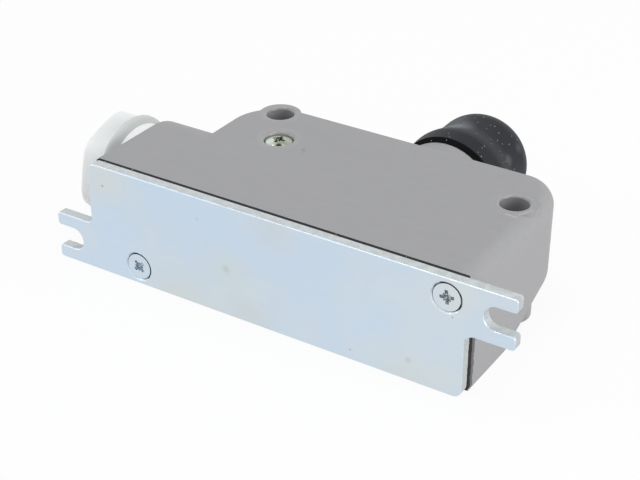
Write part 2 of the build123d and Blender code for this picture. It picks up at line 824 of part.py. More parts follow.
# Bushing that guides the plunger, with a flange on the end of the barrel
with BuildPart() as plunger_bushing:
    with BuildSketch(Plane.XY):
        inner = plunger_x + stem_radius + running_play
        outer = plunger_x + boss_bore - thread_play
        with BuildLine():
            Polyline(
                (inner, bushing_end),
                (outer, bushing_end),
                (outer, boss_end),
                (plunger_x + bushing_flange, boss_end),
                (plunger_x + bushing_flange, flange_end),
                (inner, flange_end),
                close=True,
            )
        make_face()
    revolve(axis=plunger_axis)
save(plunger_bushing, "plunger_bushing")


# Plunger stem: hollow at its inner end, grooved for the clip, with a spigot for the button
with BuildPart() as plunger_stem:
    with BuildSketch(Plane.XY):
        groove = stem_radius - clip_groove
        with BuildLine():
            Polyline(
                (plunger_x + stem_bore, stem_end),
                (plunger_x + stem_radius, stem_end),
                (plunger_x + stem_radius, clip_top - clip_gauge),
                (plunger_x + groove, clip_top - clip_gauge),
                (plunger_x + groove, clip_top),
                (plunger_x + stem_radius, clip_top),
                (plunger_x + stem_radius, button_base),
                (plunger_x + spigot_radius, button_base),
                (plunger_x + spigot_radius, button_base + spigot_length),
                (plunger_x, button_base + spigot_length),
                (plunger_x, stem_bore_end),
                (plunger_x + stem_bore, stem_bore_end),
                close=True,
            )
        make_face()
    revolve(axis=plunger_axis)
save(plunger_stem, "plunger_stem")


# Button on the stem, domed towards the boot
with BuildPart() as plunger_button:
    with BuildSketch(facing_back(button_base)):
        with Locations((plunger_x, 0)):
            Circle(button_radius)
    extrude(amount=button_height)
    fillet(plunger_button.faces().sort_by(Axis.Y)[-1].edges(), radius=button_round)
    with BuildSketch(facing_back(button_base)):
        with Locations((plunger_x, 0)):
            Circle(spigot_radius)
    extrude(amount=spigot_length, mode=Mode.SUBTRACT)
save(plunger_button, "plunger_button")


# Retaining clip in the stem's groove, open on one side
with BuildPart() as retaining_clip:
    with BuildSketch(facing_front(clip_top)):
        with Locations((plunger_x, 0)):
            Circle(clip_radius)
            Circle(stem_radius - clip_groove, mode=Mode.SUBTRACT)
        with BuildLine(mode=Mode.PRIVATE) as wedge:
            across = 2 * clip_radius * tan(radians(clip_gap_half_angle))
            Polyline(
                (plunger_x, 0),
                (plunger_x + 2 * clip_radius, across),
                (plunger_x + 2 * clip_radius, -across),
                close=True,
            )
        make_face(wedge.edges(), mode=Mode.SUBTRACT)
    extrude(amount=clip_gauge)
save(retaining_clip, "retaining_clip")


# Retainer: the ring that closes the stem's bore round the transfer pin
with BuildPart() as pin_retainer:
    with BuildSketch(facing_back(stem_end)):
        with Locations((plunger_x, 0)):
            Circle(stem_bore - thread_play)
            Circle(transfer_radius + transfer_play, mode=Mode.SUBTRACT)
    extrude(amount=retainer_height)
save(pin_retainer, "pin_retainer")


# Transfer pin: its head slides in the stem's bore, its tip stands on the switch pin
head_base = stem_end + retainer_height + retainer_play
head_top = head_base + transfer_head_height
with BuildPart() as transfer_pin:
    with BuildSketch(facing_back(pin_top)):
        with Locations((plunger_x, 0)):
            Circle(transfer_radius)
    extrude(amount=head_base - pin_top)
    with BuildSketch(facing_back(head_base)):
        with Locations((plunger_x, 0)):
            Circle(stem_bore - transfer_play)
    extrude(amount=transfer_head_height)
save(transfer_pin, "transfer_pin")


# Overtravel spring between the transfer pin's head and the end of the stem's bore
with BuildPart() as overtravel_spring:
    overtravel_rise = stem_bore_end - head_top - 2 * (overtravel_wire + spring_end_play)
    with BuildLine() as overtravel_path:
        Helix(
            pitch=overtravel_rise / overtravel_turns,
            height=overtravel_rise,
            radius=overtravel_coil,
            center=(plunger_x, head_top + overtravel_wire + spring_end_play, 0),
            direction=(0, 1, 0),
        )
    with BuildSketch(Plane(origin=overtravel_path.line @ 0, z_dir=overtravel_path.line % 0)):
        RegularPolygon(overtravel_wire, 6)
    sweep()
save(overtravel_spring, "overtravel_spring")


# Return spring round the stem, from the bushing's flange to the button
with BuildPart() as return_spring:
    return_rise = button_base - flange_end - 2 * (return_wire + spring_end_play)
    with BuildLine() as return_path:
        Helix(
            pitch=return_rise / return_turns,
            height=return_rise,
            radius=return_coil,
            center=(plunger_x, flange_end + return_wire + spring_end_play, 0),
            direction=(0, 1, 0),
        )
    with BuildSketch(Plane(origin=return_path.line @ 0, z_dir=return_path.line % 0)):
        RegularPolygon(return_wire, 6)
    sweep()
save(return_spring, "return_spring")


# Rubber boot: a lip that grips the barrel, a soft step, and a domed crown over the button
with BuildPart() as rubber_boot:
    inner_wall = boot_body_radius - boot_wall
    inner_crown = button_top + crown_play
    inner_round = boot_round - boot_wall
    with BuildSketch(Plane.XY):
        with BuildLine():
            outside = Polyline(
                (plunger_x, inner_crown),
                (plunger_x, boot_end),
                (plunger_x + boot_body_radius - boot_round, boot_end),
            )
            RadiusArc(
                (plunger_x + boot_body_radius - boot_round, boot_end),
                (plunger_x + boot_body_radius, boot_end - boot_round),
                boot_round,
            )
            Line(
                (plunger_x + boot_body_radius, boot_end - boot_round),
                (plunger_x + boot_body_radius, lip_face + boot_body_height),
            )
            neck = TangentArc(
                (plunger_x + boot_body_radius, lip_face + boot_body_height),
                (plunger_x + boot_neck_radius, lip_face + boot_neck_height),
                tangent=(0, -1),
            )
            TangentArc(
                (plunger_x + boot_neck_radius, lip_face + boot_neck_height),
                (plunger_x + boot_lip_radius, lip_face + boot_lip_height),
                tangent=neck % 1,
            )
            Polyline(
                (plunger_x + boot_lip_radius, lip_face + boot_lip_height),
                (plunger_x + boss_radius + boot_rim_wall, lip_face + boot_rim_rise),
                (plunger_x + boss_radius + boot_play + boot_mouth, lip_face),
                (plunger_x + boss_radius + boot_play, lip_face),
                (plunger_x + boss_radius + boot_play, boss_end + boot_play),
                (plunger_x + inner_wall, boss_end + boot_play),
                (plunger_x + inner_wall, inner_crown - inner_round),
            )
            RadiusArc(
                (plunger_x + inner_wall, inner_crown - inner_round),
                (plunger_x + inner_wall - inner_round, inner_crown),
                -inner_round,
            )
            Line((plunger_x + inner_wall - inner_round, inner_crown), (plunger_x, inner_crown))
        make_face()
    revolve(axis=plunger_axis)
save(rubber_boot, "rubber_boot")


# Conduit cap: a hexagonal head with rounded corners, a flange, a neck and a hollow plug
neck_start = hub_end
cap_neck = half - cap_neck_inset
cap_flange = half - cap_flange_inset
cap_corners = half - cap_corner_inset
cap_flats = half - cap_flat_inset
flange_front = neck_start - cap_neck_length - cap_taper_length
flange_rear = flange_front - cap_flange_gauge
cap_end = flange_rear - cap_head_height
cap_axis = Axis((0, hub_axis_y, 0), (1, 0, 0))
with BuildPart() as conduit_cap:
    with BuildSketch(Plane.YZ.offset(cap_end)):
        with Locations((hub_axis_y, 0)):
            RegularPolygon(cap_flats, 6, major_radius=False, rotation=cap_turn)
            Circle(cap_corners, mode=Mode.INTERSECT)
    extrude(amount=cap_head_height)
    fillet(conduit_cap.faces().sort_by(Axis.X)[0].edges(), radius=cap_edge)
    with BuildSketch(Plane.XY):
        bore = hub_bore - cap_spigot_play - cap_wall
        with BuildLine():
            Polyline(
                (flange_rear, hub_axis_y),
                (flange_rear, hub_axis_y + cap_flange),
                (flange_front, hub_axis_y + cap_flange),
                (flange_front + cap_taper_length, hub_axis_y + cap_neck),
                (neck_start, hub_axis_y + cap_neck),
                (neck_start, hub_axis_y + hub_bore - cap_spigot_play),
                (neck_start + cap_spigot_length, hub_axis_y + hub_bore - cap_spigot_play),
                (neck_start + cap_spigot_length, hub_axis_y),
                close=True,
            )
        make_face()
    revolve(axis=cap_axis)
    with BuildSketch(Plane.YZ.offset(neck_start + cap_spigot_length)):
        with Locations((hub_axis_y, 0)):
            Circle(bore)
    extrude(amount=-(neck_start + cap_spigot_length - cap_end - cap_wall), mode=Mode.SUBTRACT)
save(conduit_cap, "conduit_cap")
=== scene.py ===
# %% [markdown]
# # A plunger limit switch, dressed for its picture
# The switch lies on its flat side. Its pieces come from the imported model, and this lesson
# gives each its finish. The works inside keep their shapes. The casting, plate, gasket and
# screws are reshaped a little at their edges. The rubber boot and the two springs, which bend,
# and the cap, whose hexagon melts into a circle, are made anew. Last comes the thin lip of
# rubber that the plate has squeezed out of the gasket.

# %% Load the fixed frame
import json

import bmesh
import bpy
import numpy as np
from mathutils import Matrix, Vector


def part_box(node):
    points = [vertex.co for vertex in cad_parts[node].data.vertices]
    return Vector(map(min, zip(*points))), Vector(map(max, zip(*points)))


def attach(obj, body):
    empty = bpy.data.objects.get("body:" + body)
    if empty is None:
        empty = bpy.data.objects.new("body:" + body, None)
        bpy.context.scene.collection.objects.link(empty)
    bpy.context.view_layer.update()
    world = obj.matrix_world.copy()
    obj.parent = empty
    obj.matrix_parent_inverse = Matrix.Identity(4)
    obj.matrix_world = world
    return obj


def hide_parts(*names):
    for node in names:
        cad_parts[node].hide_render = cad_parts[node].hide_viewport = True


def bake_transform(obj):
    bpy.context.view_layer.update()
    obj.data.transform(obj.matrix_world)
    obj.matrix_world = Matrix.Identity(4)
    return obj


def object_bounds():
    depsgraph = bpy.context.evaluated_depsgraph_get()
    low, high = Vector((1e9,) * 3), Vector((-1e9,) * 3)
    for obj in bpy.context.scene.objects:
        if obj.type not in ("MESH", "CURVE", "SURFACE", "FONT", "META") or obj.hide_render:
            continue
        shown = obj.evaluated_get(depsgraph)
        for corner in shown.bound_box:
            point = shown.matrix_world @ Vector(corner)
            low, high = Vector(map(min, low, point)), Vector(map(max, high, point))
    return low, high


MM = 0.001
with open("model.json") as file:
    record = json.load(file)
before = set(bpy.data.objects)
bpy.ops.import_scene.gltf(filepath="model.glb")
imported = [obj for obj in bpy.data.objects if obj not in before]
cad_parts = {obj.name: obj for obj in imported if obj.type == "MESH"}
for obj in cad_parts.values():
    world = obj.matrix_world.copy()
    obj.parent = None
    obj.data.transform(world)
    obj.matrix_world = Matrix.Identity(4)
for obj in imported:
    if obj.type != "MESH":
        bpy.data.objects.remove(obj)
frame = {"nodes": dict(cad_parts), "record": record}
cad_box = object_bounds()
nodes = frame["nodes"]
UPPER = cad_box[1][2] / MM
print("pieces in the frame:", len(nodes))

# %% [markdown]
# ## The camera
# The picture was taken with a long lens from above the front right. Three axes set the
# camera's turn, and the lens follows from how fast the straight edges close on each other.

# %% Camera
SENSOR = 36.0
LENS = 81.83
eye = Vector((154.547, -220.834, 166.832)) * MM
ahead = Vector((-0.4629, 0.7280, -0.5057)).normalized()
right = ahead.cross(Vector((0, 0, 1))).normalized()
up = right.cross(ahead)
camera_data = bpy.data.cameras.new("camera")
camera_data.lens = LENS
camera_data.sensor_width = SENSOR
camera_data.clip_start = 0.01
camera = bpy.data.objects.new("camera", camera_data)
turn = Matrix((right, up, -ahead)).transposed().to_4x4()
camera.matrix_world = Matrix.Translation(eye) @ turn
bpy.context.scene.collection.objects.link(camera)
bpy.context.scene.camera = camera
print("camera at", [round(v, 4) for v in eye])

# %% [markdown]
# ## Floor and light
# A product picture on white is lit from all round by large soft sources, so the light here
# is mostly a pale world, with four soft lamps that give the metal something to mirror.
# The camera and mirrored rays see the floor and the world as white. Rays that carry light
# to the object see a plainer level, so the white background adds no light to it.

# %% Helpers for node trees
def new_material(name):
    """An empty node material, with its output and its Principled shader."""
    material = bpy.data.materials.new(name)
    material.use_nodes = True
    tree = material.node_tree
    tree.nodes.clear()
    out = tree.nodes.new("ShaderNodeOutputMaterial")
    shader = tree.nodes.new("ShaderNodeBsdfPrincipled")
    out.location = (600, 0)
    shader.location = (300, 0)
    tree.links.new(shader.outputs["BSDF"], out.inputs["Surface"])
    return material, tree, shader


def add_node(tree, kind, at, **values):
    """A node of one kind, with its settings and its socket values given by name."""
    node = tree.nodes.new(kind)
    node.location = at
    for key, value in values.items():
        if hasattr(node, key):
            setattr(node, key, value)
        else:
            node.inputs[key.replace("_", " ")].default_value = value
    return node


def seen_share(tree, share):
    """The given share for rays from the camera or a mirror or through glass, else 0."""
    path = add_node(tree, "ShaderNodeLightPath", (-400, 300))
    either = add_node(tree, "ShaderNodeMath", (-200, 350), operation="MAXIMUM")
    any_of = add_node(tree, "ShaderNodeMath", (-50, 300), operation="MAXIMUM")
    part = add_node(tree, "ShaderNodeMath", (100, 300), operation="MULTIPLY")
    part.inputs[1].default_value = share
    tree.links.new(path.outputs["Is Camera Ray"], either.inputs[0])
    tree.links.new(path.outputs["Is Glossy Ray"], either.inputs[1])
    tree.links.new(either.outputs[0], any_of.inputs[0])
    tree.links.new(path.outputs["Is Transmission Ray"], any_of.inputs[1])
    tree.links.new(any_of.outputs[0], part.inputs[0])
    return part.outputs[0]


# %% Floor
FLOOR_Z = cad_box[0][2]
FLOOR_HALF = 1.5
FLOOR_GREY = (0.86, 0.86, 0.86, 1)
FLOOR_SEEN_WHITE = 0.9
corners = np.array([(-1, -1, 0), (1, -1, 0), (1, 1, 0), (-1, 1, 0)], float) * FLOOR_HALF
corners[:, 2] = FLOOR_Z
floor_mesh = bpy.data.meshes.new("floor")
floor_mesh.from_pydata(corners.tolist(), [], [(0, 1, 2, 3)])
floor = bpy.data.objects.new("floor", floor_mesh)
bpy.context.scene.collection.objects.link(floor)

floor_paint, tree, shader = new_material("floor_white")
shader.inputs["Base Color"].default_value = FLOOR_GREY
shader.inputs["Roughness"].default_value = 0.9
glow = add_node(tree, "ShaderNodeEmission", (300, -300), Color=(1, 1, 1, 1), Strength=1.0)
mixer = add_node(tree, "ShaderNodeMixShader", (450, 0))
tree.links.new(seen_share(tree, FLOOR_SEEN_WHITE), mixer.inputs["Fac"])
tree.links.new(shader.outputs["BSDF"], mixer.inputs[1])
tree.links.new(glow.outputs["Emission"], mixer.inputs[2])
tree.links.new(mixer.outputs["Shader"], tree.nodes["Material Output"].inputs["Surface"])
floor_mesh.materials.append(floor_paint)
print("floor at", round(FLOOR_Z, 4))

# %% World
world = bpy.data.worlds.new("studio")
bpy.context.scene.world = world
world.use_nodes = True
sky = world.node_tree
sky.nodes.clear()
sky_out = add_node(sky, "ShaderNodeOutputWorld", (400, 0))
sky_glow = add_node(
    sky, "ShaderNodeBackground", (200, 0), Color=(0.96, 0.98, 1.0, 1), Strength=0.55
)
sky_white = add_node(sky, "ShaderNodeBackground", (200, -200), Color=(1, 1, 1, 1), Strength=1.0)
sky_mix = add_node(sky, "ShaderNodeMixShader", (300, 0))
sky.links.new(seen_share(sky, 1.0), sky_mix.inputs["Fac"])
sky.links.new(sky_glow.outputs[0], sky_mix.inputs[1])
sky.links.new(sky_white.outputs[0], sky_mix.inputs[2])
sky.links.new(sky_mix.outputs[0], sky_out.inputs["Surface"])
bpy.context.scene.view_settings.view_transform = "Standard"
print("world:", world.name)

# %% Lamps
LAMPS_FACE = Vector((0, 0.03, 0))


def soft_lamp(name, at, size, power):
    """A square area lamp of one size and power, turned to face the switch."""
    data = bpy.data.lights.new(name, "AREA")
    data.size = size
    data.energy = power
    lamp = bpy.data.objects.new(name, data)
    lamp.location = at
    lamp.rotation_euler = (LAMPS_FACE - Vector(at)).to_track_quat("-Z", "Y").to_euler()
    bpy.context.scene.collection.objects.link(lamp)


soft_lamp("overhead_right", (0.24, 0.15, 0.87), size=0.28, power=1.4)
soft_lamp("overhead_left", (-0.2, -0.1, 0.87), size=0.28, power=1.4)
soft_lamp("left_panel", (-0.8, -0.3, 0.4), size=0.6, power=1.2)
soft_lamp("right_panel", (0.9, 0.0, 0.25), size=0.6, power=4.6)
print("lamps:", len(bpy.data.lights))

# %% [markdown]
# ## Effects shared by several finishes
# Grain is a stretched noise that stands for rolling marks, brush marks or a paint's skin.
# Specks are the scattered cells of a Voronoi pattern, kept only where a random value per cell is
# high, which gives lint and dust. A spot is one soft disc at a given place, for a single stain or
# nick, or for a patch of painted highlight or painted shade. All three are groups, so each finish
# places them with its own sizes.

# %% Group: grain
def effect_group(name, inputs, outputs):
    """An empty shader group whose inputs and outputs are given as (name, kind, value)."""
    group = bpy.data.node_groups.new(name, "ShaderNodeTree")
    for label, kind, value in inputs:
        socket = group.interface.new_socket(label, in_out="INPUT", socket_type=kind)
        socket.default_value = value
    for label, kind in outputs:
        group.interface.new_socket(label, in_out="OUTPUT", socket_type=kind)
    start = group.nodes.new("NodeGroupInput")
    start.location = (-600, 0)
    end = group.nodes.new("NodeGroupOutput")
    end.location = (600, 0)
    return group, start, end


grain, start, end = effect_group(
    "grain",
    [
        ("Stretch", "NodeSocketVector", (1, 1, 1)),
        ("Scale", "NodeSocketFloat", 500.0),
        ("Low", "NodeSocketFloat", 0.35),
        ("High", "NodeSocketFloat", 0.65),
    ],
    [("Mask", "NodeSocketFloat")],
)
place = add_node(grain, "ShaderNodeTexCoord", (-600, 300))
stretch = add_node(grain, "ShaderNodeVectorMath", (-350, 200), operation="MULTIPLY")
noise = add_node(grain, "ShaderNodeTexNoise", (-100, 200), Detail=4.0, Roughness=0.6)
ramp = add_node(grain, "ShaderNodeMapRange", (200, 200))
grain.links.new(place.outputs["Object"], stretch.inputs[0])
grain.links.new(start.outputs["Stretch"], stretch.inputs[1])
grain.links.new(stretch.outputs[0], noise.inputs["Vector"])
grain.links.new(start.outputs["Scale"], noise.inputs["Scale"])
grain.links.new(noise.outputs[0], ramp.inputs["Value"])
grain.links.new(start.outputs["Low"], ramp.inputs["From Min"])
grain.links.new(start.outputs["High"], ramp.inputs["From Max"])
grain.links.new(ramp.outputs["Result"], end.inputs["Mask"])
print("group:", grain.name)

# %% Group: specks
specks, start, end = effect_group(
    "specks",
    [
        ("Scale", "NodeSocketFloat", 900.0),
        ("Rarity", "NodeSocketFloat", 0.9),
        ("Size", "NodeSocketFloat", 0.3),
    ],
    [("Mask", "NodeSocketFloat")],
)
place = add_node(specks, "ShaderNodeTexCoord", (-600, 300))
cells = add_node(specks, "ShaderNodeTexVoronoi", (-350, 200))
lottery = add_node(specks, "ShaderNodeSeparateColor", (-150, 350))
drawn = add_node(specks, "ShaderNodeMath", (50, 350), operation="GREATER_THAN")
near = add_node(specks, "ShaderNodeMath", (50, 150), operation="LESS_THAN")
both = add_node(specks, "ShaderNodeMath", (250, 200), operation="MULTIPLY")
specks.links.new(place.outputs["Object"], cells.inputs["Vector"])
specks.links.new(start.outputs["Scale"], cells.inputs["Scale"])
specks.links.new(cells.outputs["Color"], lottery.inputs[0])
specks.links.new(lottery.outputs[0], drawn.inputs[0])
specks.links.new(start.outputs["Rarity"], drawn.inputs[1])
specks.links.new(cells.outputs["Distance"], near.inputs[0])
specks.links.new(start.outputs["Size"], near.inputs[1])
specks.links.new(drawn.outputs[0], both.inputs[0])
specks.links.new(near.outputs[0], both.inputs[1])
specks.links.new(both.outputs[0], end.inputs["Mask"])
print("group:", specks.name)

# %% Group: spot
spot, start, end = effect_group(
    "spot",
    [
        ("Centre", "NodeSocketVector", (0, 0, 0)),
        ("Radius", "NodeSocketFloat", 0.001),
        ("Strength", "NodeSocketFloat", 1.0),
    ],
    [("Mask", "NodeSocketFloat")],
)
place = add_node(spot, "ShaderNodeTexCoord", (-600, 300))
away = add_node(spot, "ShaderNodeVectorMath", (-350, 200), operation="DISTANCE")
fade = add_node(spot, "ShaderNodeMapRange", (0, 200), interpolation_type="SMOOTHSTEP")
fade.inputs["From Max"].default_value = 0.0
spot.links.new(place.outputs["Object"], away.inputs[0])
spot.links.new(start.outputs["Centre"], away.inputs[1])
spot.links.new(away.outputs["Value"], fade.inputs["Value"])
spot.links.new(start.outputs["Radius"], fade.inputs["From Min"])
spot.links.new(start.outputs["Strength"], fade.inputs["To Max"])
spot.links.new(fade.outputs["Result"], end.inputs["Mask"])
print("group:", spot.name)


# %% Helpers that make masks
def effect(tree, group, at, **values):
    """The mask of one use of an effect group, with its own values."""
    node = add_node(tree, "ShaderNodeGroup", at, node_tree=group)
    for key, value in values.items():
        node.inputs[key].default_value = value
    return node.outputs["Mask"]


def mesh_mask(tree, name, at):
    """The mask that a piece's own mesh carries under a name, and 0 on other pieces."""
    return add_node(tree, "ShaderNodeAttribute", at, attribute_name=name).outputs["Fac"]


def spread(tree, mask, low, high, at=(0, -100), mask_low=0.0, mask_high=1.0):
    """Map a mask's own range onto the range from low to high, and hold it at both ends."""
    ramp = add_node(
        tree, "ShaderNodeMapRange", at,
        From_Min=mask_low, From_Max=mask_high, To_Min=low, To_Max=high,
    )
    tree.links.new(mask, ramp.inputs["Value"])
    return ramp.outputs["Result"]


# %% Helpers that lay effects on a finish
def blend(tree, kind, mask, first, second, at):
    """Mix two values by a mask. Each is given plainly, or as a socket that carries it."""
    mix = add_node(tree, "ShaderNodeMix", at, data_type=kind)
    for name, value in (("A", first), ("B", second)):
        if isinstance(value, bpy.types.NodeSocket):
            tree.links.new(value, mix.inputs[name])
        else:
            mix.inputs[name].default_value = value
    tree.links.new(mask, mix.inputs["Factor"])
    return mix.outputs["Result"]


def blend_colours(tree, mask, first, second, at=(0, 100)):
    """Mix two colours by a mask. Each is three numbers, or a socket that carries a colour."""
    first, second = ((*c, 1) if isinstance(c, tuple) else c for c in (first, second))
    return blend(tree, "RGBA", mask, first, second, at)


def stains_and_painted_light(tree, colour, marks, at=(-400, 400)):
    """Lay soft spots on a colour, each as (centre, radius, tone, strength), in millimetres:
    stains, and patches of painted highlight and painted shade.
    """
    x, y = at
    for centre, radius, tone, strength in marks:
        disc = effect(
            tree, spot, (x, y),
            Centre=tuple(v * MM for v in centre), Radius=radius * MM, Strength=strength,
        )
        colour = blend_colours(tree, disc, colour, tone, (x + 200, y))
        y += 250
    return colour


def relief(tree, height, shader, distance, strength):
    """Turn a height mask into bumps of one depth, in metres."""
    bump = add_node(tree, "ShaderNodeBump", (0, -350), Strength=strength, Distance=distance)
    tree.links.new(height, bump.inputs["Height"])
    tree.links.new(bump.outputs["Normal"], shader.inputs["Normal"])


# %% [markdown]
# ## Grey paint on the casting
# The case is die cast and sprayed a light grey. The skin is fine and even, with faint short
# streaks on the large side and one small dark nick near the side screw. Two short pale lines
# beside the right hole are painted highlights on its rounded edge and ring. Paint runs together in
# the rounded mouths of the holes, so it is glossier there.

# %% Grey paint
LEFT_HOLE = (-26.4, 45.7)
RIGHT_HOLE = (41.8, 35.3)
SCREW_PAD = (-19.0, 34.0)
GLOSSY_MOUTHS = ((LEFT_HOLE, 6.0), (RIGHT_HOLE, 6.5), (SCREW_PAD, 6.5))
PAINT_NICK = (
    ((-11.1, 32.8, UPPER), 0.6, (0.2, 0.2, 0.21), 0.5),
    ((-10.7, 31.9, UPPER), 0.8, (0.17, 0.17, 0.18), 0.6),
    ((-10.2, 31.0, UPPER), 0.6, (0.2, 0.2, 0.21), 0.5),
)
# Two lines of pale spots beside the right hole are painted highlights on its rounded edge and
# ring.
HIGHLIGHT_LINES = (((45.0, 31.0), (46.5, 34.3), 7), ((42.5, 29.75), (44.8, 29.7), 6))
PAINTED_HIGHLIGHTS = tuple(
    ((x, y, UPPER), 0.34, (0.6, 0.6, 0.62), 0.75)
    for a, b, number in HIGHLIGHT_LINES for x, y in np.linspace(a, b, number)
)


def grey_paint():
    """Light grey satin paint, with a fine skin and faint streaks along X.

    The roughness goes from 0.5 to 0.56 with the streaks, and falls to 0.16 in the mouths.
    """
    material, tree, shader = new_material("grey_paint")
    skin = effect(tree, grain, (-900, -200), Scale=1500.0)
    streaks = effect(tree, grain, (-900, 100), Stretch=(0.5, 2.0, 2.0), Scale=420.0)
    colour = blend_colours(
        tree, streaks, (0.302, 0.300, 0.305), (0.316, 0.314, 0.320), (-600, 200)
    )
    # The nick is a real mark; the pale spots beside the right hole are painted highlights.
    colour = stains_and_painted_light(tree, colour, PAINT_NICK + PAINTED_HIGHLIGHTS)
    rough = spread(tree, streaks, 0.5, 0.56, (-400, -300))
    for count, ((x, y), radius) in enumerate(GLOSSY_MOUTHS):
        pool = effect(
            tree, spot, (-600, -500 - 250 * count),
            Centre=(x * MM, y * MM, UPPER * MM), Radius=radius * MM, Strength=2.5,
        )
        rough = blend(tree, "FLOAT", pool, rough, 0.16, (-200 + 150 * count, -300))
    tree.links.new(colour, shader.inputs["Base Color"])
    tree.links.new(rough, shader.inputs["Roughness"])
    relief(tree, skin, shader, 0.00004, 0.15)
    return material


finishes = {"grey_paint": grey_paint()}
print("marks on the paint:", len(PAINT_NICK + PAINTED_HIGHLIGHTS))

# %% [markdown]
# ## Bright zinc on the plate and its screws
# Zinc plating with a blue passivation mirrors its surroundings in a soft, cool way. The tint
# wanders between blue and straw, and the rolled sheet carries faint scuffs. A few single marks of
# staining are laid where a real plate has been handled. Every face not turned to the front is
# painted a duller grey: on the plate's cut edges this is their own duller finish, and in the
# countersinks and recesses of the screw heads it is painted shade. The rounded arris between face
# and edge sparkles, because its gloss changes in small chips.

# %% Tints and marks of the plate
ZINC_BLUE = (0.588, 0.705, 0.832)
ZINC_STRAW = (0.635, 0.715, 0.785)
# The duller grey of faces not turned to the front: the cut edges' own finish, and painted shade in
# the screws' countersinks and recesses.
ZINC_EDGE_AND_SHADE = (0.53, 0.565, 0.575)
ZINC_ROUGH = 0.33
PLATE_TINTS = (
    ((-44.0, 0.0, 11.0), 10.0, (0.67, 0.71, 0.70), 0.8),
    ((-24.0, 0.0, -15.0), 15.0, (0.64, 0.69, 0.68), 0.8),
    ((-6.0, 0.0, -15.0), 12.0, (0.62, 0.68, 0.68), 0.7),
    ((-10.0, 0.0, -2.0), 9.0, (0.64, 0.70, 0.69), 0.5),
    ((2.0, 0.0, 13.0), 9.0, (0.61, 0.66, 0.70), 0.6),
    ((36.0, 0.0, -13.0), 12.0, (0.66, 0.71, 0.70), 0.7),
    ((46.0, 0.0, -10.0), 8.0, (0.66, 0.72, 0.73), 0.6),
    ((46.0, 0.0, 11.0), 8.0, (0.68, 0.73, 0.72), 0.7),
)
PLATE_MARKS = (
    ((-44.9, 0.0, 9.2), 0.5, (0.2, 0.22, 0.18), 0.7),
    ((-10.6, 0.0, -1.8), 1.6, (0.46, 0.54, 0.44), 0.5),
    ((-18.0, 0.0, 8.7), 0.7, (0.4, 0.46, 0.48), 0.3),
    ((21.8, 0.0, -11.4), 0.35, (0.2, 0.22, 0.26), 0.7),
    ((45.7, 0.0, 5.3), 0.35, (0.3, 0.2, 0.14), 0.7),
    ((36.0, 0.0, -8.8), 1.1, (0.44, 0.5, 0.42), 0.45),
)
print("marks on the plate:", len(PLATE_TINTS + PLATE_MARKS))


# %% Bright zinc
def bright_zinc():
    """Plated sheet: the tint drifts slowly, the gloss is scuffed, and faces not turned to the
    front are duller, painted shade in the screws' cones and recesses.

    The broad face looks along -Y, so the Y of the normal is -1 there. It tells the face from
    the arris, where it passes -0.97 to -0.8, and from the cut edge, where it passes -0.1.
    """
    material, tree, shader = new_material("zinc_plate")
    drift = effect(tree, grain, (-900, 200), Scale=38.0, Low=0.38, High=0.62)
    scuffs = effect(tree, grain, (-900, -200), Stretch=(0.25, 1.0, 2.5), Scale=420.0)
    chips = effect(tree, grain, (-900, -800), Scale=700.0, Low=0.44, High=0.56)
    facing = add_node(tree, "ShaderNodeNewGeometry", (-900, -500))
    parts = add_node(tree, "ShaderNodeSeparateXYZ", (-700, -500))
    tree.links.new(facing.outputs["Normal"], parts.inputs["Vector"])
    edges_and_shade = spread(tree, parts.outputs["Y"], 0.0, 1.0, (-500, -500), -0.25, -0.1)
    arris = spread(tree, parts.outputs["Y"], 0.0, 1.0, (-500, -1050), -0.97, -0.8)
    colour = blend_colours(tree, drift, ZINC_BLUE, ZINC_STRAW, (-600, 200))
    colour = stains_and_painted_light(tree, colour, PLATE_TINTS + PLATE_MARKS)
    # Faces not turned to the front are painted duller: the cut edges, and painted shade in the
    # screws' cones and recesses.
    colour = blend_colours(tree, edges_and_shade, colour, ZINC_EDGE_AND_SHADE)
    scuffed = spread(tree, scuffs, ZINC_ROUGH - 0.05, ZINC_ROUGH + 0.07)
    chipped = spread(tree, chips, ZINC_ROUGH - 0.08, ZINC_ROUGH + 0.3, (-500, -800))
    rough = blend(tree, "FLOAT", arris, scuffed, chipped, (0, -200))
    tree.links.new(colour, shader.inputs["Base Color"])
    tree.links.new(rough, shader.inputs["Roughness"])
    relief(tree, scuffs, shader, 0.00003, 0.1)
    shader.inputs["Metallic"].default_value = 1.0
    return material


finishes["zinc_plate"] = bright_zinc()
print("finish:", finishes["zinc_plate"].name)

# %% [markdown]
# ## Yellow zinc on the side screw
# Yellow passivation is a thin film whose colour runs from straw to olive and pale green. A noise
# between two tones and a few placed spots give that at any distance, where a picture would need to
# be unwrapped. The spots make the head paler green towards the near left and darker olive towards
# the far right. A near-black spot near its lower right rim is a painted reflection, and small
# white spots are painted glints on the lumps of the pressed head.

# %% Yellow zinc
HEAD_TOP = 13.6
# Spots on the head: two broad tones, then a painted reflection (the near-black one) and painted
# glints (the white ones).
HEAD_TONES_AND_PAINTED_REFLECTIONS = (
    ((-20.7, 32.4, HEAD_TOP), 2.3, (0.62, 0.69, 0.64), 1.3),
    ((-16.9, 35.2, HEAD_TOP), 2.4, (0.42, 0.45, 0.37), 1.2),
    ((-17.5, 31.75, HEAD_TOP), 1.1, (0.05, 0.06, 0.03), 1.8),
    ((-18.8, 31.1, HEAD_TOP), 0.45, (1.0, 1.0, 0.98), 2.0),
    ((-15.95, 32.3, HEAD_TOP), 0.5, (1.0, 1.0, 0.98), 2.0),
    ((-18.3, 34.1, HEAD_TOP), 0.4, (1.0, 1.0, 0.98), 2.0),
    ((-19.9, 35.1, HEAD_TOP), 0.35, (1.0, 1.0, 0.98), 1.6),
)


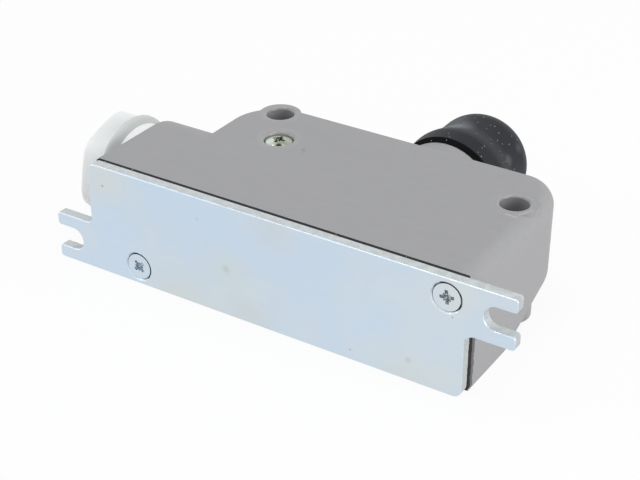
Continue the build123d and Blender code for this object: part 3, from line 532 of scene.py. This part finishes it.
def yellow_zinc():
    """Plating in which straw, olive and pale green run together, over a lumpy pressed head, with a
    painted reflection and painted glints laid on as spots.
    """
    material, tree, shader = new_material("yellow_zinc")
    run = effect(tree, grain, (-900, 200), Scale=420.0, Low=0.42, High=0.58)
    lumps = effect(tree, grain, (-900, -200), Scale=700.0, Low=0.3, High=0.7)
    colour = blend_colours(tree, run, (0.32, 0.335, 0.26), (0.54, 0.57, 0.49), (-600, 200))
    # Broad tones, a painted reflection and painted glints on the head.
    colour = stains_and_painted_light(tree, colour, HEAD_TONES_AND_PAINTED_REFLECTIONS)
    tree.links.new(colour, shader.inputs["Base Color"])
    tree.links.new(spread(tree, lumps, 0.14, 0.3), shader.inputs["Roughness"])
    relief(tree, lumps, shader, 0.0002, 0.35)
    shader.inputs["Metallic"].default_value = 1.0
    return material


finishes["yellow_zinc"] = yellow_zinc()
print("marks on the side screw:", len(HEAD_TONES_AND_PAINTED_REFLECTIONS))

# %% [markdown]
# ## Rubber, with the dust it gathers, painted sheen and painted shade
# The boot is matt black rubber. Lint and dust stand out on it as small pale specks. The cut end of
# its lip is duller than the moulded skin and is painted near black as painted shade, so the boot's
# mesh carries a mask of its own that says where that end is. Soft spots paint a sheen on the
# boot's upper left as painted highlights, and two lighter patches on its right. The gasket is the
# same rubber, and its squeezed lip carries a mask that says where dust has stuck to it.

# %% Rubber
DUST = (0.135, 0.135, 0.14)
LINT = (0.6, 0.6, 0.6)
# The near black of the boot's cut end is painted shade.
PAINTED_SHADE_BLACK = (0.002, 0.002, 0.002)
# The first two spots are painted highlights, the sheen on the boot's upper left; the last two make
# lighter patches on its right.
BOOT_SHEEN_AND_PATCHES = (
    ((11.9, 66.0, 12.1), 5.2, (0.17, 0.18, 0.20), 0.8),
    ((9.6, 70.5, 10.8), 4.5, (0.12, 0.125, 0.14), 0.5),
    ((25.4, 67.2, 6.1), 2.2, (0.09, 0.095, 0.10), 0.7),
    ((25.1, 73.3, 6.7), 2.0, (0.07, 0.075, 0.08), 0.6),
)


def dusty_rubber(name, dark, light, rough, sheen_and_patches=()):
    """Matt rubber with a slow change of tone, scattered pale specks, the soft spots it is given,
    and a dull cut end painted near black as painted shade.

    The roughness is the larger of the cut end's mask and a level that follows the tone.
    """
    material, tree, shader = new_material(name)
    tone = effect(tree, grain, (-900, 200), Scale=120.0)
    lint = effect(tree, specks, (-900, -100), Scale=1050.0, Rarity=0.72, Size=0.115)
    skin = effect(tree, grain, (-900, -350), Scale=1800.0)
    cut = mesh_mask(tree, "cut_end", (-900, 450))
    dusty = mesh_mask(tree, "dusty_part", (-900, 700))
    colour = blend_colours(tree, tone, dark, light, (-600, 200))
    colour = blend_colours(tree, dusty, colour, DUST, (-500, 400))
    # Painted sheen and lighter patches, where a finish is given them.
    colour = stains_and_painted_light(tree, colour, sheen_and_patches, (-500, 600))
    # Painted shade: the cut end is made near black.
    colour = blend_colours(tree, cut, colour, PAINTED_SHADE_BLACK, (-400, 200))
    colour = blend_colours(tree, lint, colour, LINT, (-200, 200))
    level = spread(tree, tone, rough - 0.05, rough + 0.05, (-600, -100))
    matt = add_node(tree, "ShaderNodeMath", (-400, -100), operation="MAXIMUM")
    tree.links.new(level, matt.inputs[0])
    tree.links.new(cut, matt.inputs[1])
    tree.links.new(colour, shader.inputs["Base Color"])
    tree.links.new(matt.outputs[0], shader.inputs["Roughness"])
    relief(tree, skin, shader, 0.00003, 0.2)
    shader.inputs["Specular IOR Level"].default_value = 0.16
    return material


finishes["gasket_rubber"] = dusty_rubber(
    "gasket_rubber", (0.014, 0.014, 0.017), (0.025, 0.025, 0.029), 0.7
)
finishes["boot_rubber"] = dusty_rubber(
    "boot_rubber", (0.011, 0.0125, 0.016), (0.020, 0.0215, 0.026), 0.5, BOOT_SHEEN_AND_PATCHES
)
print("smears on the boot:", len(BOOT_SHEEN_AND_PATCHES))

# %% [markdown]
# ## Milky plastic on the cap
# Natural polyethylene lets light in and spreads it, and subsurface scattering gives the cap a soft
# glow. Painted light and shade do the rest: the top is painted darker as painted shade, the flange
# is painted a darker greenish grey, a greenish tint with painted shade over it, and the thin neck
# is painted near white as a painted glow. Two masks on the cap's mesh say where the flange and the
# neck are.

# %% Milky plastic
# Painted shade: the top of the cap is made darker.
CAP_TOP_PAINTED_SHADE = (((-58.0, 20.0, 16.0), 16.0, (0.66, 0.67, 0.67), 0.75),)
# Painted shade with a greenish tint on the flange's back.
FLANGE_SHADE_GREEN = (0.53, 0.555, 0.545)
# Painted glow: the neck is made near white.
NECK_PAINTED_GLOW = (0.97, 0.98, 0.97)


def milky_plastic():
    """Natural polyethylene: light enters it and spreads, with painted shade on its top and flange
    and a painted glow on its neck.
    """
    material, tree, shader = new_material("cap_plastic")
    cloud = effect(tree, grain, (-900, 100), Scale=90.0)
    skin = effect(tree, grain, (-900, -200), Scale=700.0)
    flange_shade = mesh_mask(tree, "shaded_flange", (-900, 400))
    thin = mesh_mask(tree, "glowing_neck", (-900, 650))
    colour = blend_colours(tree, cloud, (0.91, 0.92, 0.925), (0.94, 0.95, 0.95), (-600, 200))
    # Painted shade on the top, painted glow on the neck, and painted shade with a greenish tint on
    # the flange.
    colour = stains_and_painted_light(tree, colour, CAP_TOP_PAINTED_SHADE, (-600, 800))
    # Painted glow: the thin neck is made near white.
    colour = blend_colours(tree, thin, colour, NECK_PAINTED_GLOW, (-450, 400))
    # Painted shade with a greenish tint on the flange.
    colour = blend_colours(tree, flange_shade, colour, FLANGE_SHADE_GREEN, (-300, 200))
    tree.links.new(colour, shader.inputs["Base Color"])
    tree.links.new(spread(tree, skin, 0.32, 0.4), shader.inputs["Roughness"])
    relief(tree, skin, shader, 0.00003, 0.15)
    shader.inputs["Subsurface Weight"].default_value = 0.5
    shader.inputs["Subsurface Radius"].default_value = (1.0, 1.0, 1.0)
    shader.inputs["Subsurface Scale"].default_value = 0.003
    return material


finishes["cap_plastic"] = milky_plastic()
print("finish:", finishes["cap_plastic"].name)

# %% [markdown]
# ## The works inside
# No outer view shows the plunger, the basic switch or its terminals, so two plain recipes
# dress them all: moulded plastic with flow marks, and bare metal with the marks of its
# making. Each finish only changes the two tones and the gloss.

# %% Moulded plastic
MOULDINGS = {
    "black_moulding": ((0.02, 0.02, 0.022), (0.04, 0.04, 0.042), 0.45),
    "red_moulding": ((0.30, 0.04, 0.03), (0.38, 0.06, 0.05), 0.4),
    "white_moulding": ((0.66, 0.65, 0.6), (0.74, 0.73, 0.69), 0.4),
}


def moulding(name, dark, light, rough):
    """Moulded plastic with flow marks."""
    material, tree, shader = new_material(name)
    flow = effect(tree, grain, (-600, 100), Stretch=(0.5, 1.5, 1.0), Scale=200.0)
    skin = effect(tree, grain, (-600, -200), Scale=1500.0)
    tree.links.new(blend_colours(tree, flow, dark, light), shader.inputs["Base Color"])
    tree.links.new(spread(tree, flow, rough - 0.05, rough + 0.05), shader.inputs["Roughness"])
    relief(tree, skin, shader, 0.00003, 0.2)
    return material


for name, (dark, light, rough) in MOULDINGS.items():
    finishes[name] = moulding(name, dark, light, rough)
print("mouldings:", len(MOULDINGS))

# %% Plain metal
METALS = {
    "plain_steel": ((0.5, 0.5, 0.5), (0.62, 0.62, 0.62), 0.32),
    "spring_steel": ((0.42, 0.42, 0.44), (0.55, 0.55, 0.56), 0.3),
    "copper_alloy": ((0.62, 0.34, 0.2), (0.76, 0.48, 0.32), 0.3),
    "terminal_brass": ((0.66, 0.5, 0.24), (0.76, 0.62, 0.36), 0.32),
    "bearing_brass": ((0.64, 0.48, 0.22), (0.74, 0.6, 0.34), 0.3),
}


def plain_metal(name, dark, light, rough):
    """Bare metal with the marks of its turning, drawing or rolling."""
    material, tree, shader = new_material(name)
    marks = effect(tree, grain, (-600, 0), Scale=600.0)
    tree.links.new(blend_colours(tree, marks, dark, light), shader.inputs["Base Color"])
    tree.links.new(spread(tree, marks, rough - 0.06, rough + 0.06), shader.inputs["Roughness"])
    relief(tree, marks, shader, 0.00002, 0.2)
    shader.inputs["Metallic"].default_value = 1.0
    return material


for name, (dark, light, rough) in METALS.items():
    finishes[name] = plain_metal(name, dark, light, rough)
print("metals:", len(METALS))

# %% [markdown]
# ## Every piece gets its finish
# The record gives each piece one material slot. The finishes are kept under the names of the
# slots, so one loop dresses all the pieces and none is forgotten.

# %% Give every node its finish
for row in frame["record"]["subparts"]:
    piece = nodes[row["node"]]
    piece.data.materials.clear()
    piece.data.materials.append(finishes[row["material_slot"]])
print("finishes:", len(finishes))

# %% [markdown]
# ## Surfaces worked out as arrays
# A turned piece is a profile carried round an axis, and a spring is a small ring carried
# along a helix. Each is one grid of points, worked out as a whole. The last column meets the
# first again, and the ends are sealed, so every piece is a closed shell.

# %% From a grid to a mesh
def grid_faces(rows, columns):
    """Quads between neighbours of a grid whose last column meets its first again.

    The point at row a and column b is number a times the count of columns, plus b.
    """
    a, b = np.meshgrid(np.arange(rows - 1), np.arange(columns), indexing="ij")
    b2 = (b + 1) % columns
    corners = [a * columns + b, a * columns + b2, (a + 1) * columns + b2, (a + 1) * columns + b]
    return np.stack(corners, axis=-1).reshape(-1, 4)


def make_mesh(name, points, faces, slot, sharp_above=180.0):
    """A mesh object from arrays of points, in metres, and of faces with equal corner counts."""
    mesh = bpy.data.meshes.new(name)
    mesh.vertices.add(len(points))
    mesh.vertices.foreach_set("co", np.asarray(points, dtype=np.float32).ravel())
    mesh.loops.add(faces.size)
    mesh.loops.foreach_set("vertex_index", faces.ravel().astype(np.int32))
    mesh.polygons.add(len(faces))
    starts = np.arange(0, faces.size, faces.shape[1], dtype=np.int32)
    mesh.polygons.foreach_set("loop_start", starts)
    mesh.polygons.foreach_set("use_smooth", np.ones(len(faces), dtype=bool))
    mesh.update(calc_edges=True)
    mesh.validate()
    mesh.set_sharp_from_angle(angle=np.radians(sharp_above))
    mesh.materials.append(finishes[slot])
    piece = bpy.data.objects.new(name, mesh)
    bpy.context.scene.collection.objects.link(piece)
    return piece


# %% Masks and closed ends
def mark_points(piece, name, chosen):
    """A mask on the mesh, one number per point, that its finish can read by name."""
    mask = piece.data.attributes.new(name, "FLOAT", "POINT")
    mask.data.foreach_set("value", np.asarray(chosen).astype(np.float32))


def seal(piece):
    """Merge the points of each pole into one, fill open ends, and turn all faces outwards."""
    shell = bmesh.new()
    shell.from_mesh(piece.data)
    bmesh.ops.remove_doubles(shell, verts=shell.verts, dist=1e-7)
    bmesh.ops.holes_fill(shell, edges=shell.edges)
    bmesh.ops.recalc_face_normals(shell, faces=shell.faces)
    open_edges = sum(not edge.is_manifold for edge in shell.edges)
    volume = shell.calc_volume(signed=True) / MM ** 3
    print(piece.name, "open edges:", open_edges, "volume:", round(volume, 1))
    shell.to_mesh(piece.data)
    shell.free()


# %% Turned pieces and coils
COIL_STEPS = 48
WIRE_SIDES = 12


def turned(profile, centre_x, steps):
    """Points of a closed profile of (radius, y) carried round the axis x = centre_x, z = 0.

    Each point is (centre_x + r sin t, y, r cos t) for the angle t of its column.
    """
    angle = np.linspace(0, 2 * np.pi, steps, endpoint=False)
    r, y = profile[:, 0][:, None], profile[:, 1][:, None]
    x = centre_x + r * np.sin(angle)
    z = r * np.cos(angle)
    return np.stack([x, np.broadcast_to(y, x.shape), z], axis=-1).reshape(-1, 3)


def coil(centre_x, y0, y1, radius, wire, turns):
    """Points of a round wire along a helix about Y, from y0 to y1, its ends drawn to a tip.

    The helix point is (R sin t, y0 + p t, R cos t). The ring round it is spanned by the
    outward direction and the direction square to both it and the helix. The number of rings
    comes with the points.
    """
    count = int(turns * COIL_STEPS)
    t = np.linspace(0, 2 * np.pi * turns, count)
    rise = (y1 - y0) / (2 * np.pi * turns)
    middle = np.stack([centre_x + radius * np.sin(t), y0 + rise * t, radius * np.cos(t)], -1)
    along = np.stack([radius * np.cos(t), np.full(count, rise), -radius * np.sin(t)], -1)
    along /= np.linalg.norm(along, axis=1, keepdims=True)
    outward = np.stack([np.sin(t), np.zeros(count), np.cos(t)], -1)
    aside = np.cross(along, outward)
    around = np.linspace(0, 2 * np.pi, WIRE_SIDES, endpoint=False)
    size = np.full(count, wire)
    size[0] = size[-1] = 0.0
    ring = (
        outward[:, None, :] * np.cos(around)[None, :, None]
        + aside[:, None, :] * np.sin(around)[None, :, None]
    )
    return (middle[:, None, :] + ring * size[:, None, None]).reshape(-1, 3), count


# %% [markdown]
# ## The rubber boot
# The boot's lip grips the barrel of the case, and its crown rests on the button. Between them it
# is a plain tube that narrows softly from the lip. It goes in with the plunger.

# %% Curves of a profile
def arc(cx, cy, r, a0, a1, steps):
    """Points (cx + r cos a, cy + r sin a) of (radius, y), for a from a0 to a1 in degrees."""
    a = np.radians(np.linspace(a0, a1, steps))
    return np.stack([cx + r * np.cos(a), cy + r * np.sin(a)], -1)


def soft_step(y0, y1, r0, r1, steps=24):
    """Points whose radius goes from r0 to r1 along y as 3 s squared less 2 s cubed."""
    s = np.linspace(0, 1, steps)
    return np.stack([r0 + (r1 - r0) * s * s * (3 - 2 * s), y0 + (y1 - y0) * s], -1)


def dense(points, gap=0.35):
    """Resample a polyline so that no step along it is longer than the gap."""
    points = np.asarray(points, float)
    legs = np.linalg.norm(np.diff(points, axis=0), axis=1)
    at = np.concatenate([[0], np.cumsum(legs)])
    want = np.unique(np.concatenate([at, np.arange(0, at[-1], gap)]))
    return np.stack([np.interp(want, at, points[:, k]) for k in (0, 1)], -1)


# %% Profile of the boot
boot_low, boot_high = (np.array(v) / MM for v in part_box("rubber_boot"))
boot_x = (boot_low[0] + boot_high[0]) / 2
lip = boot_low[1]
crown = boot_high[1]
LIP_R = (boot_high[0] - boot_low[0]) / 2
BODY_R = 12.3
BORE_R = 12.68
BORE_DEPTH = 2.6
CUT_R = 12.8
CUT_HEIGHT = 1.3
INSIDE_R = 10.7
NARROWS_FROM = 5.2
NARROWS_TO = 13.0
CROWN_ROUND = 8.2
INSIDE_ROUND = 6.6
CROWN_WALL = 3.0
outside = np.concatenate([
    [(0.0, crown)],
    arc(BODY_R - CROWN_ROUND, crown - CROWN_ROUND, CROWN_ROUND, 90, 0, 28),
    soft_step(lip + NARROWS_TO, lip + NARROWS_FROM, BODY_R, LIP_R),
    [(LIP_R - 0.1, lip + 3.2), (LIP_R - 0.2, lip + 1.6)],
])
cut_end = np.array([
    (LIP_R - 0.23, lip + CUT_HEIGHT), (LIP_R - 0.3, lip + 1.12), (CUT_R + 0.04, lip + 0.06),
    (CUT_R, lip), (BORE_R, lip),
])
inside = np.concatenate([
    [(BORE_R, lip + BORE_DEPTH), (INSIDE_R, lip + BORE_DEPTH)],
    arc(INSIDE_R - INSIDE_ROUND, crown - CROWN_WALL - INSIDE_ROUND, INSIDE_ROUND, 0, 90, 16),
    [(0.0, crown - CROWN_WALL)],
])
profile = dense(np.concatenate([outside, cut_end, inside]))
print("boot profile points:", len(profile))

# %% The boot as a mesh
BOOT_STEPS = 144
boot = make_mesh(
    "boot", turned(profile, boot_x, BOOT_STEPS) * MM,
    grid_faces(len(profile), BOOT_STEPS), "boot_rubber",
)
on_cut = (profile[:, 1] < lip + CUT_HEIGHT + 0.05) & (profile[:, 0] < LIP_R - 0.2)
mark_points(boot, "cut_end", np.repeat(on_cut, BOOT_STEPS))
seal(boot)
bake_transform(boot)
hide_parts("rubber_boot")
print("boot faces:", len(boot.data.polygons))

# %% [markdown]
# ## The springs
# Both springs stand between a part that stays and a part that moves. The overtravel spring's lower
# end moves a sixth as far as the plunger. Each spring is made as a coil of round wire in the place
# of its node.

# %% Springs
def spring(name, node, radius, wire, turns):
    """A coil in the place of a spring node."""
    low, high = (np.array(v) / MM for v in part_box(node))
    points, rings = coil(boot_x, low[1] + wire, high[1] - wire, radius, wire, turns)
    piece = make_mesh(name, points * MM, grid_faces(rings, WIRE_SIDES), "spring_steel")
    seal(piece)
    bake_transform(piece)
    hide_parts(node)
    print(name, "rings:", rings)


spring("return_coil", "return_spring", radius=6.7, wire=0.5, turns=5.0)
spring("overtravel_coil", "overtravel_spring", radius=2.5, wire=0.35, turns=7.0)

# %% [markdown]
# ## The cap
# The cap closes the conduit hub. Its head is a hexagon whose corners are rounded off, then
# come a flange, a taper and a neck, and inside the hub a hollow plug. All of it is one profile
# carried round the hub's axis, whose head rows follow the hexagon in place of the circle.

# %% The cap's cross-section
cap_low, cap_high = (np.array(v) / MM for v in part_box("conduit_cap"))
CAP_END = cap_low[0]
CAP_Y = (cap_low[1] + cap_high[1]) / 2
CAP_FLATS = 12.55
CAP_CORNERS = 13.5
CAP_TURN = np.radians(-12.5)
CAP_SOFTNESS = 34.0


def rounded_hexagon(angle):
    """Radius of a hexagon whose corners melt into a circle.

    Both radii are raised to a large negative power, added, and taken back by the root.
    """
    sixth = np.pi / 3
    flat = CAP_FLATS / np.cos((angle - CAP_TURN + sixth / 2) % sixth - sixth / 2)
    return (flat ** -CAP_SOFTNESS + CAP_CORNERS ** -CAP_SOFTNESS) ** (-1 / CAP_SOFTNESS)


# %% The cap's rows
HEAD_LENGTH = 5.6
EDGE_ROUND = 0.9
HUB_FACE = -48.3
NECK_R = 12.0
PLUG_R = 10.1
PLUG_END = -38.3
HOLLOW_R = 7.9
HOLLOW_END = -59.8
# Rows of the head are (distance from the end, added radius, share of the hexagon).
end_turn = np.radians(np.linspace(0, 90, 7))
head = [(0.0, -EDGE_ROUND * share, share) for share in (0.0, 0.3, 0.6, 0.9)]
head += [(EDGE_ROUND * (1 - np.cos(t)), EDGE_ROUND * (np.sin(t) - 1), 1.0) for t in end_turn]
head += [(x, 0.0, 1.0) for x in np.linspace(1.2, HEAD_LENGTH, 8)]
head += [(HEAD_LENGTH + 0.25, -0.08, 1.0), (HEAD_LENGTH + 0.35, -0.3, 1.0)]
# Rows of the flange, its taper and the neck are (distance from the end, radius).
flange = [(6.0, 12.9), (6.02, 13.3), (6.1, 13.6), (6.25, 13.75), (6.45, 13.79)]
flange += [(6.5, 13.8), (6.85, 13.78), (7.2, 13.6), (7.9, 12.9), (8.65, 12.24), (8.7, 12.2)]
neck = [(9.1, NECK_R + 0.02), (9.6, NECK_R)]
# Rows of the neck's foot, the plug and its hollow are (place along the hub, radius).
foot = [(HUB_FACE - 0.2, NECK_R), (HUB_FACE - 0.02, NECK_R - 0.1), (HUB_FACE, NECK_R - 0.3)]
plug = [(HUB_FACE, PLUG_R), (-44.0, PLUG_R), (PLUG_END - 0.3, PLUG_R)]
plug += [(PLUG_END - 0.05, PLUG_R - 0.1), (PLUG_END, PLUG_R - 0.3)]
hollow = [(PLUG_END, HOLLOW_R), (-48.0, HOLLOW_R), (HOLLOW_END, HOLLOW_R), (HOLLOW_END, 0.0)]
rows = [(CAP_END + x, r, share) for x, r, share in head]
rows += [(CAP_END + x, r, 0.0) for x, r in flange + neck]
rows += [(x, r, 0.0) for x, r in foot + plug + hollow]
rows = np.array(rows)
print("cap rows:", len(rows))

# %% The cap as a mesh
CAP_STEPS = 180
FLANGE_FROM = CAP_END + 6.48
FLANGE_TO = CAP_END + 8.67
around = np.linspace(0, 2 * np.pi, CAP_STEPS, endpoint=False)
reach = rows[:, 1][:, None] + rows[:, 2][:, None] * rounded_hexagon(around)[None, :]
along = np.broadcast_to(rows[:, 0][:, None], reach.shape)
cap_points = np.stack([along, CAP_Y + reach * np.cos(around), reach * np.sin(around)], -1)
cap = make_mesh(
    "cap", cap_points.reshape(-1, 3) * MM, grid_faces(len(rows), CAP_STEPS), "cap_plastic",
    sharp_above=50.0,
)
# Masks for the flange's painted shade and the neck's painted glow.
on_shaded_flange = (rows[:, 0] > FLANGE_FROM) & (rows[:, 0] < FLANGE_TO)
on_glowing_neck = (rows[:, 0] > FLANGE_TO) & (rows[:, 1] > NECK_R - 0.2)
mark_points(cap, "shaded_flange", np.repeat(on_shaded_flange, CAP_STEPS))
mark_points(cap, "glowing_neck", np.repeat(on_glowing_neck, CAP_STEPS))
seal(cap)
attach(cap, "case")
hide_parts("conduit_cap")
print("cap faces:", len(cap.data.polygons))

# %% [markdown]
# ## Pieces that start from the model's own points
# The casting, the plate, the screws and the gasket are right in the model, but some of their
# edges are softer or crisper on the real switch. Such a piece starts from the model's points.
# They are merged first, because the model's triangles are loose, and then moved by a formula.

# %% A merged copy
SHARP_ABOVE = 30.0
NEAR = 0.01


def model_points(node):
    """A node's points in millimetres, with its doubles merged, and its triangles."""
    mesh = nodes[node].data
    points = np.empty(len(mesh.vertices) * 3, dtype=np.float32)
    mesh.vertices.foreach_get("co", points)
    corners = np.empty(len(mesh.loops), dtype=np.int32)
    mesh.loops.foreach_get("vertex_index", corners)
    merged, index = np.unique(np.round(points.reshape(-1, 3) / MM, 4), axis=0, return_inverse=True)
    faces = index.ravel()[corners].reshape(-1, 3)
    whole = (faces != np.roll(faces, 1, axis=1)).all(axis=1)
    return merged.astype(float), faces[whole]


def remade(name, node, points, faces, slot, bevel=0.0):
    """A piece of the case in the place of a node, with its edges bevelled if asked."""
    piece = make_mesh(name, points * MM, faces, slot, SHARP_ABOVE)
    if bevel:
        edge = piece.modifiers.new("soft_edges", "BEVEL")
        edge.width = bevel * MM
        edge.segments = 2
        edge.limit_method = "ANGLE"
        edge.angle_limit = np.radians(40)
    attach(piece, "case")
    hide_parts(node)
    print(name, "faces:", len(faces))


# %% [markdown]
# ## The casting
# The mouths of the side holes are wider and rounder than in the model, so the ring of points
# on each model rounding is stretched away from the hole's wall and down into it. Paint has all
# but filled the groove round the right hole, so its floor is lifted.

# %% Casting
MODEL_ROUND = 0.4
SIDE_MOUTHS = ((LEFT_HOLE, 3.3, 1.9), (RIGHT_HOLE, 3.3, 1.5), (SCREW_PAD, 3.45, 2.2))
GROOVE_IN, GROOVE_OUT = 4.3, 5.1
GROOVE_DEPTH = 0.15
PAINTED_DEPTH = 0.02
points, faces = model_points("housing")
for centre, radius, widen in SIDE_MOUTHS:
    away = points[:, :2] - centre
    r = np.linalg.norm(away, axis=1)
    drop = UPPER - points[:, 2]
    rim = (r > radius - NEAR) & (r < radius + MODEL_ROUND + 0.05) & (drop < MODEL_ROUND + NEAR)
    grown = (radius + (r[rim] - radius) * widen) / r[rim]
    points[rim, :2] = centre + away[rim] * grown[:, None]
    points[rim, 2] = UPPER - drop[rim] * widen
r = np.linalg.norm(points[:, :2] - RIGHT_HOLE, axis=1)
on_floor = np.abs(points[:, 2] - (UPPER - GROOVE_DEPTH)) < NEAR
points[(r > GROOVE_IN) & (r < GROOVE_OUT) & on_floor, 2] = UPPER - PAINTED_DEPTH
remade("casting", "housing", points, faces, "grey_paint")

# %% [markdown]
# ## The plate
# The tabs were cut with crisper corners than the model's, the countersinks are open round the
# screws, and below its right tab the plate ends a little sooner. The centre of each corner's
# arc moves outwards by as much as the radius shrinks, so the arc still meets both sides.

# %% Plate
TAB_END = 59.75
TAB_CORNERS = ((14.0, 1), (10.8, -1), (5.2, 1), (2.0, -1))
TAB_ROUND = 1.5
CRISPER = 0.8
COVER_SCREWS = ((-35.8, -9.5), (44.1, 9.4))
CONE_IN, CONE_OUT = 1.9, 3.6
CONE_DEPTH = 1.5
CONE_OPENED = 0.25
RIGHT_PART = 46.9
STEP_LOW, STEP_HIGH = 0.4, 2.0
SHORTENED = 0.6
points, faces = model_points("cover_plate")
for side in (1, -1):
    for z, way in TAB_CORNERS:
        centre = side * np.array((TAB_END - TAB_ROUND, z - way * TAB_ROUND))
        turn = side * np.array((1, way))
        away = (points[:, [0, 2]] - centre) * turn
        on_arc = (away > -0.001).all(axis=1) & (away < TAB_ROUND + NEAR).all(axis=1)
        r = np.linalg.norm(away[on_arc], axis=1)[:, None]
        moved = CRISPER + (r - CRISPER) * away[on_arc] / r
        points[np.ix_(on_arc, [0, 2])] = centre + moved * turn
for centre in COVER_SCREWS:
    away = points[:, [0, 2]] - centre
    r = np.linalg.norm(away, axis=1)
    cone = (r > CONE_IN) & (r < CONE_OUT) & (points[:, 1] < CONE_DEPTH + NEAR)
    wider = (r[cone] + CONE_OPENED) / r[cone]
    points[np.ix_(cone, [0, 2])] = centre + away[cone] * wider[:, None]
low_right = (points[:, 0] > RIGHT_PART) & (points[:, 2] < STEP_HIGH)
height = np.clip((points[low_right, 2] - STEP_LOW) / (STEP_HIGH - STEP_LOW), 0, 1)
points[low_right, 0] -= SHORTENED * (1 - height ** 2 * (3 - 2 * height))
remade("plate", "cover_plate", points, faces, "zinc_plate")

# %% [markdown]
# ## The screws
# The two plate screws stand as they were left, each turned by its own angle, and the side
# screw's head is more domed than in the model. A small bevel breaks the edges round each head
# and recess, because a perfectly sharp edge never catches the light.

# %% Screws
TURNED_BY = (42.0, 7.0)
SCREW_REACH = 6.0
DOME_FROM = 13.3
DOME_STRETCH = 1.5
points, faces = model_points("cover_screws")
for centre, degrees in zip(COVER_SCREWS, TURNED_BY):
    away = points[:, [0, 2]] - centre
    own = np.linalg.norm(away, axis=1) < SCREW_REACH
    c, s = np.cos(np.radians(degrees)), np.sin(np.radians(degrees))
    points[np.ix_(own, [0, 2])] = centre + away[own] @ np.array([(c, s), (-s, c)])
remade("plate_screws", "cover_screws", points, faces, "zinc_plate", bevel=0.14)
points, faces = model_points("side_screw")
dome = points[:, 2] > DOME_FROM
points[dome, 2] = DOME_FROM + (points[dome, 2] - DOME_FROM) * DOME_STRETCH
remade("pad_screw", "side_screw", points, faces, "yellow_zinc", bevel=0.07)

# %% [markdown]
# ## The gasket
# The gasket is a rubber sheet. At the top it ends a little short of the plate's end, and
# lower down it has been squeezed out onto the casting as a thin dusty smear. This lip is a
# closed outline carried along Z, swelling and shrinking as a sum of slow waves.

# %% Gasket sheet
SHEET_PAST = 48.0
SHEET_END = 47.5
points, faces = model_points("cover_gasket")
points[points[:, 0] > SHEET_PAST, 0] = SHEET_END
remade("gasket_sheet", "cover_gasket", points, faces, "gasket_rubber")

# %% Shape of the gasket's lip
SMEAR_LOW, SMEAR_HIGH = -13.3, 2.8
SMEAR_ROWS = 120
SMEAR_FACE = 48.5
SMEAR_TOP = 4.5
SMEAR_DUSTY = 3.9
SWELL_WAVES = ((0.03, 1.3, 0.0), (0.03, 3.1, 1.0), (0.02, 7.3, 0.0))
EDGE_WAVES = ((0.1, 2.3, 0.0), (0.07, 5.9, 0.0))
EDGE_SLOPE = 0.012
SMEAR_OUTLINE = np.array([
    (47.2, 2.53), (48.0, 2.53), (48.45, 2.53), (48.58, 2.6), (48.62, 2.8), (48.64, 3.5),
    (48.62, 3.85), (48.64, 3.95), (48.66, 4.3), (48.66, 4.9), (48.62, 5.2), (48.54, 5.32),
    (48.45, 5.32), (48.45, 3.39), (48.0, 3.39), (47.2, 3.39),
])


def waves(z, rows):
    """The sum of a sin (f z + p) over rows of (a, f, p)."""
    return sum(a * np.sin(f * z + p) for a, f, p in rows)


outline_x, outline_y = SMEAR_OUTLINE[:, 0], SMEAR_OUTLINE[:, 1]
z = np.linspace(SMEAR_LOW, SMEAR_HIGH, SMEAR_ROWS)
share = np.clip((outline_x - SMEAR_FACE) / 0.1, 0, 1)
x = outline_x[None, :] + waves(z, SWELL_WAVES)[:, None] * share[None, :]
edge_y = waves(z, EDGE_WAVES) + EDGE_SLOPE * (z - SMEAR_HIGH)
y = outline_y[None, :] + edge_y[:, None] * (outline_y > SMEAR_TOP)
lip_points = np.stack([x, y, np.broadcast_to(z[:, None], x.shape)], -1).reshape(-1, 3)
print("lip points:", len(lip_points))

# %% The gasket's lip as a mesh
gasket_lip = make_mesh(
    "gasket_lip", lip_points * MM, grid_faces(SMEAR_ROWS, len(SMEAR_OUTLINE)), "gasket_rubber",
    sharp_above=60.0,
)
mark_points(gasket_lip, "dusty_part", np.tile(outline_y > SMEAR_DUSTY, SMEAR_ROWS))
seal(gasket_lip)
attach(gasket_lip, "case")
print("lip faces:", len(gasket_lip.data.polygons))
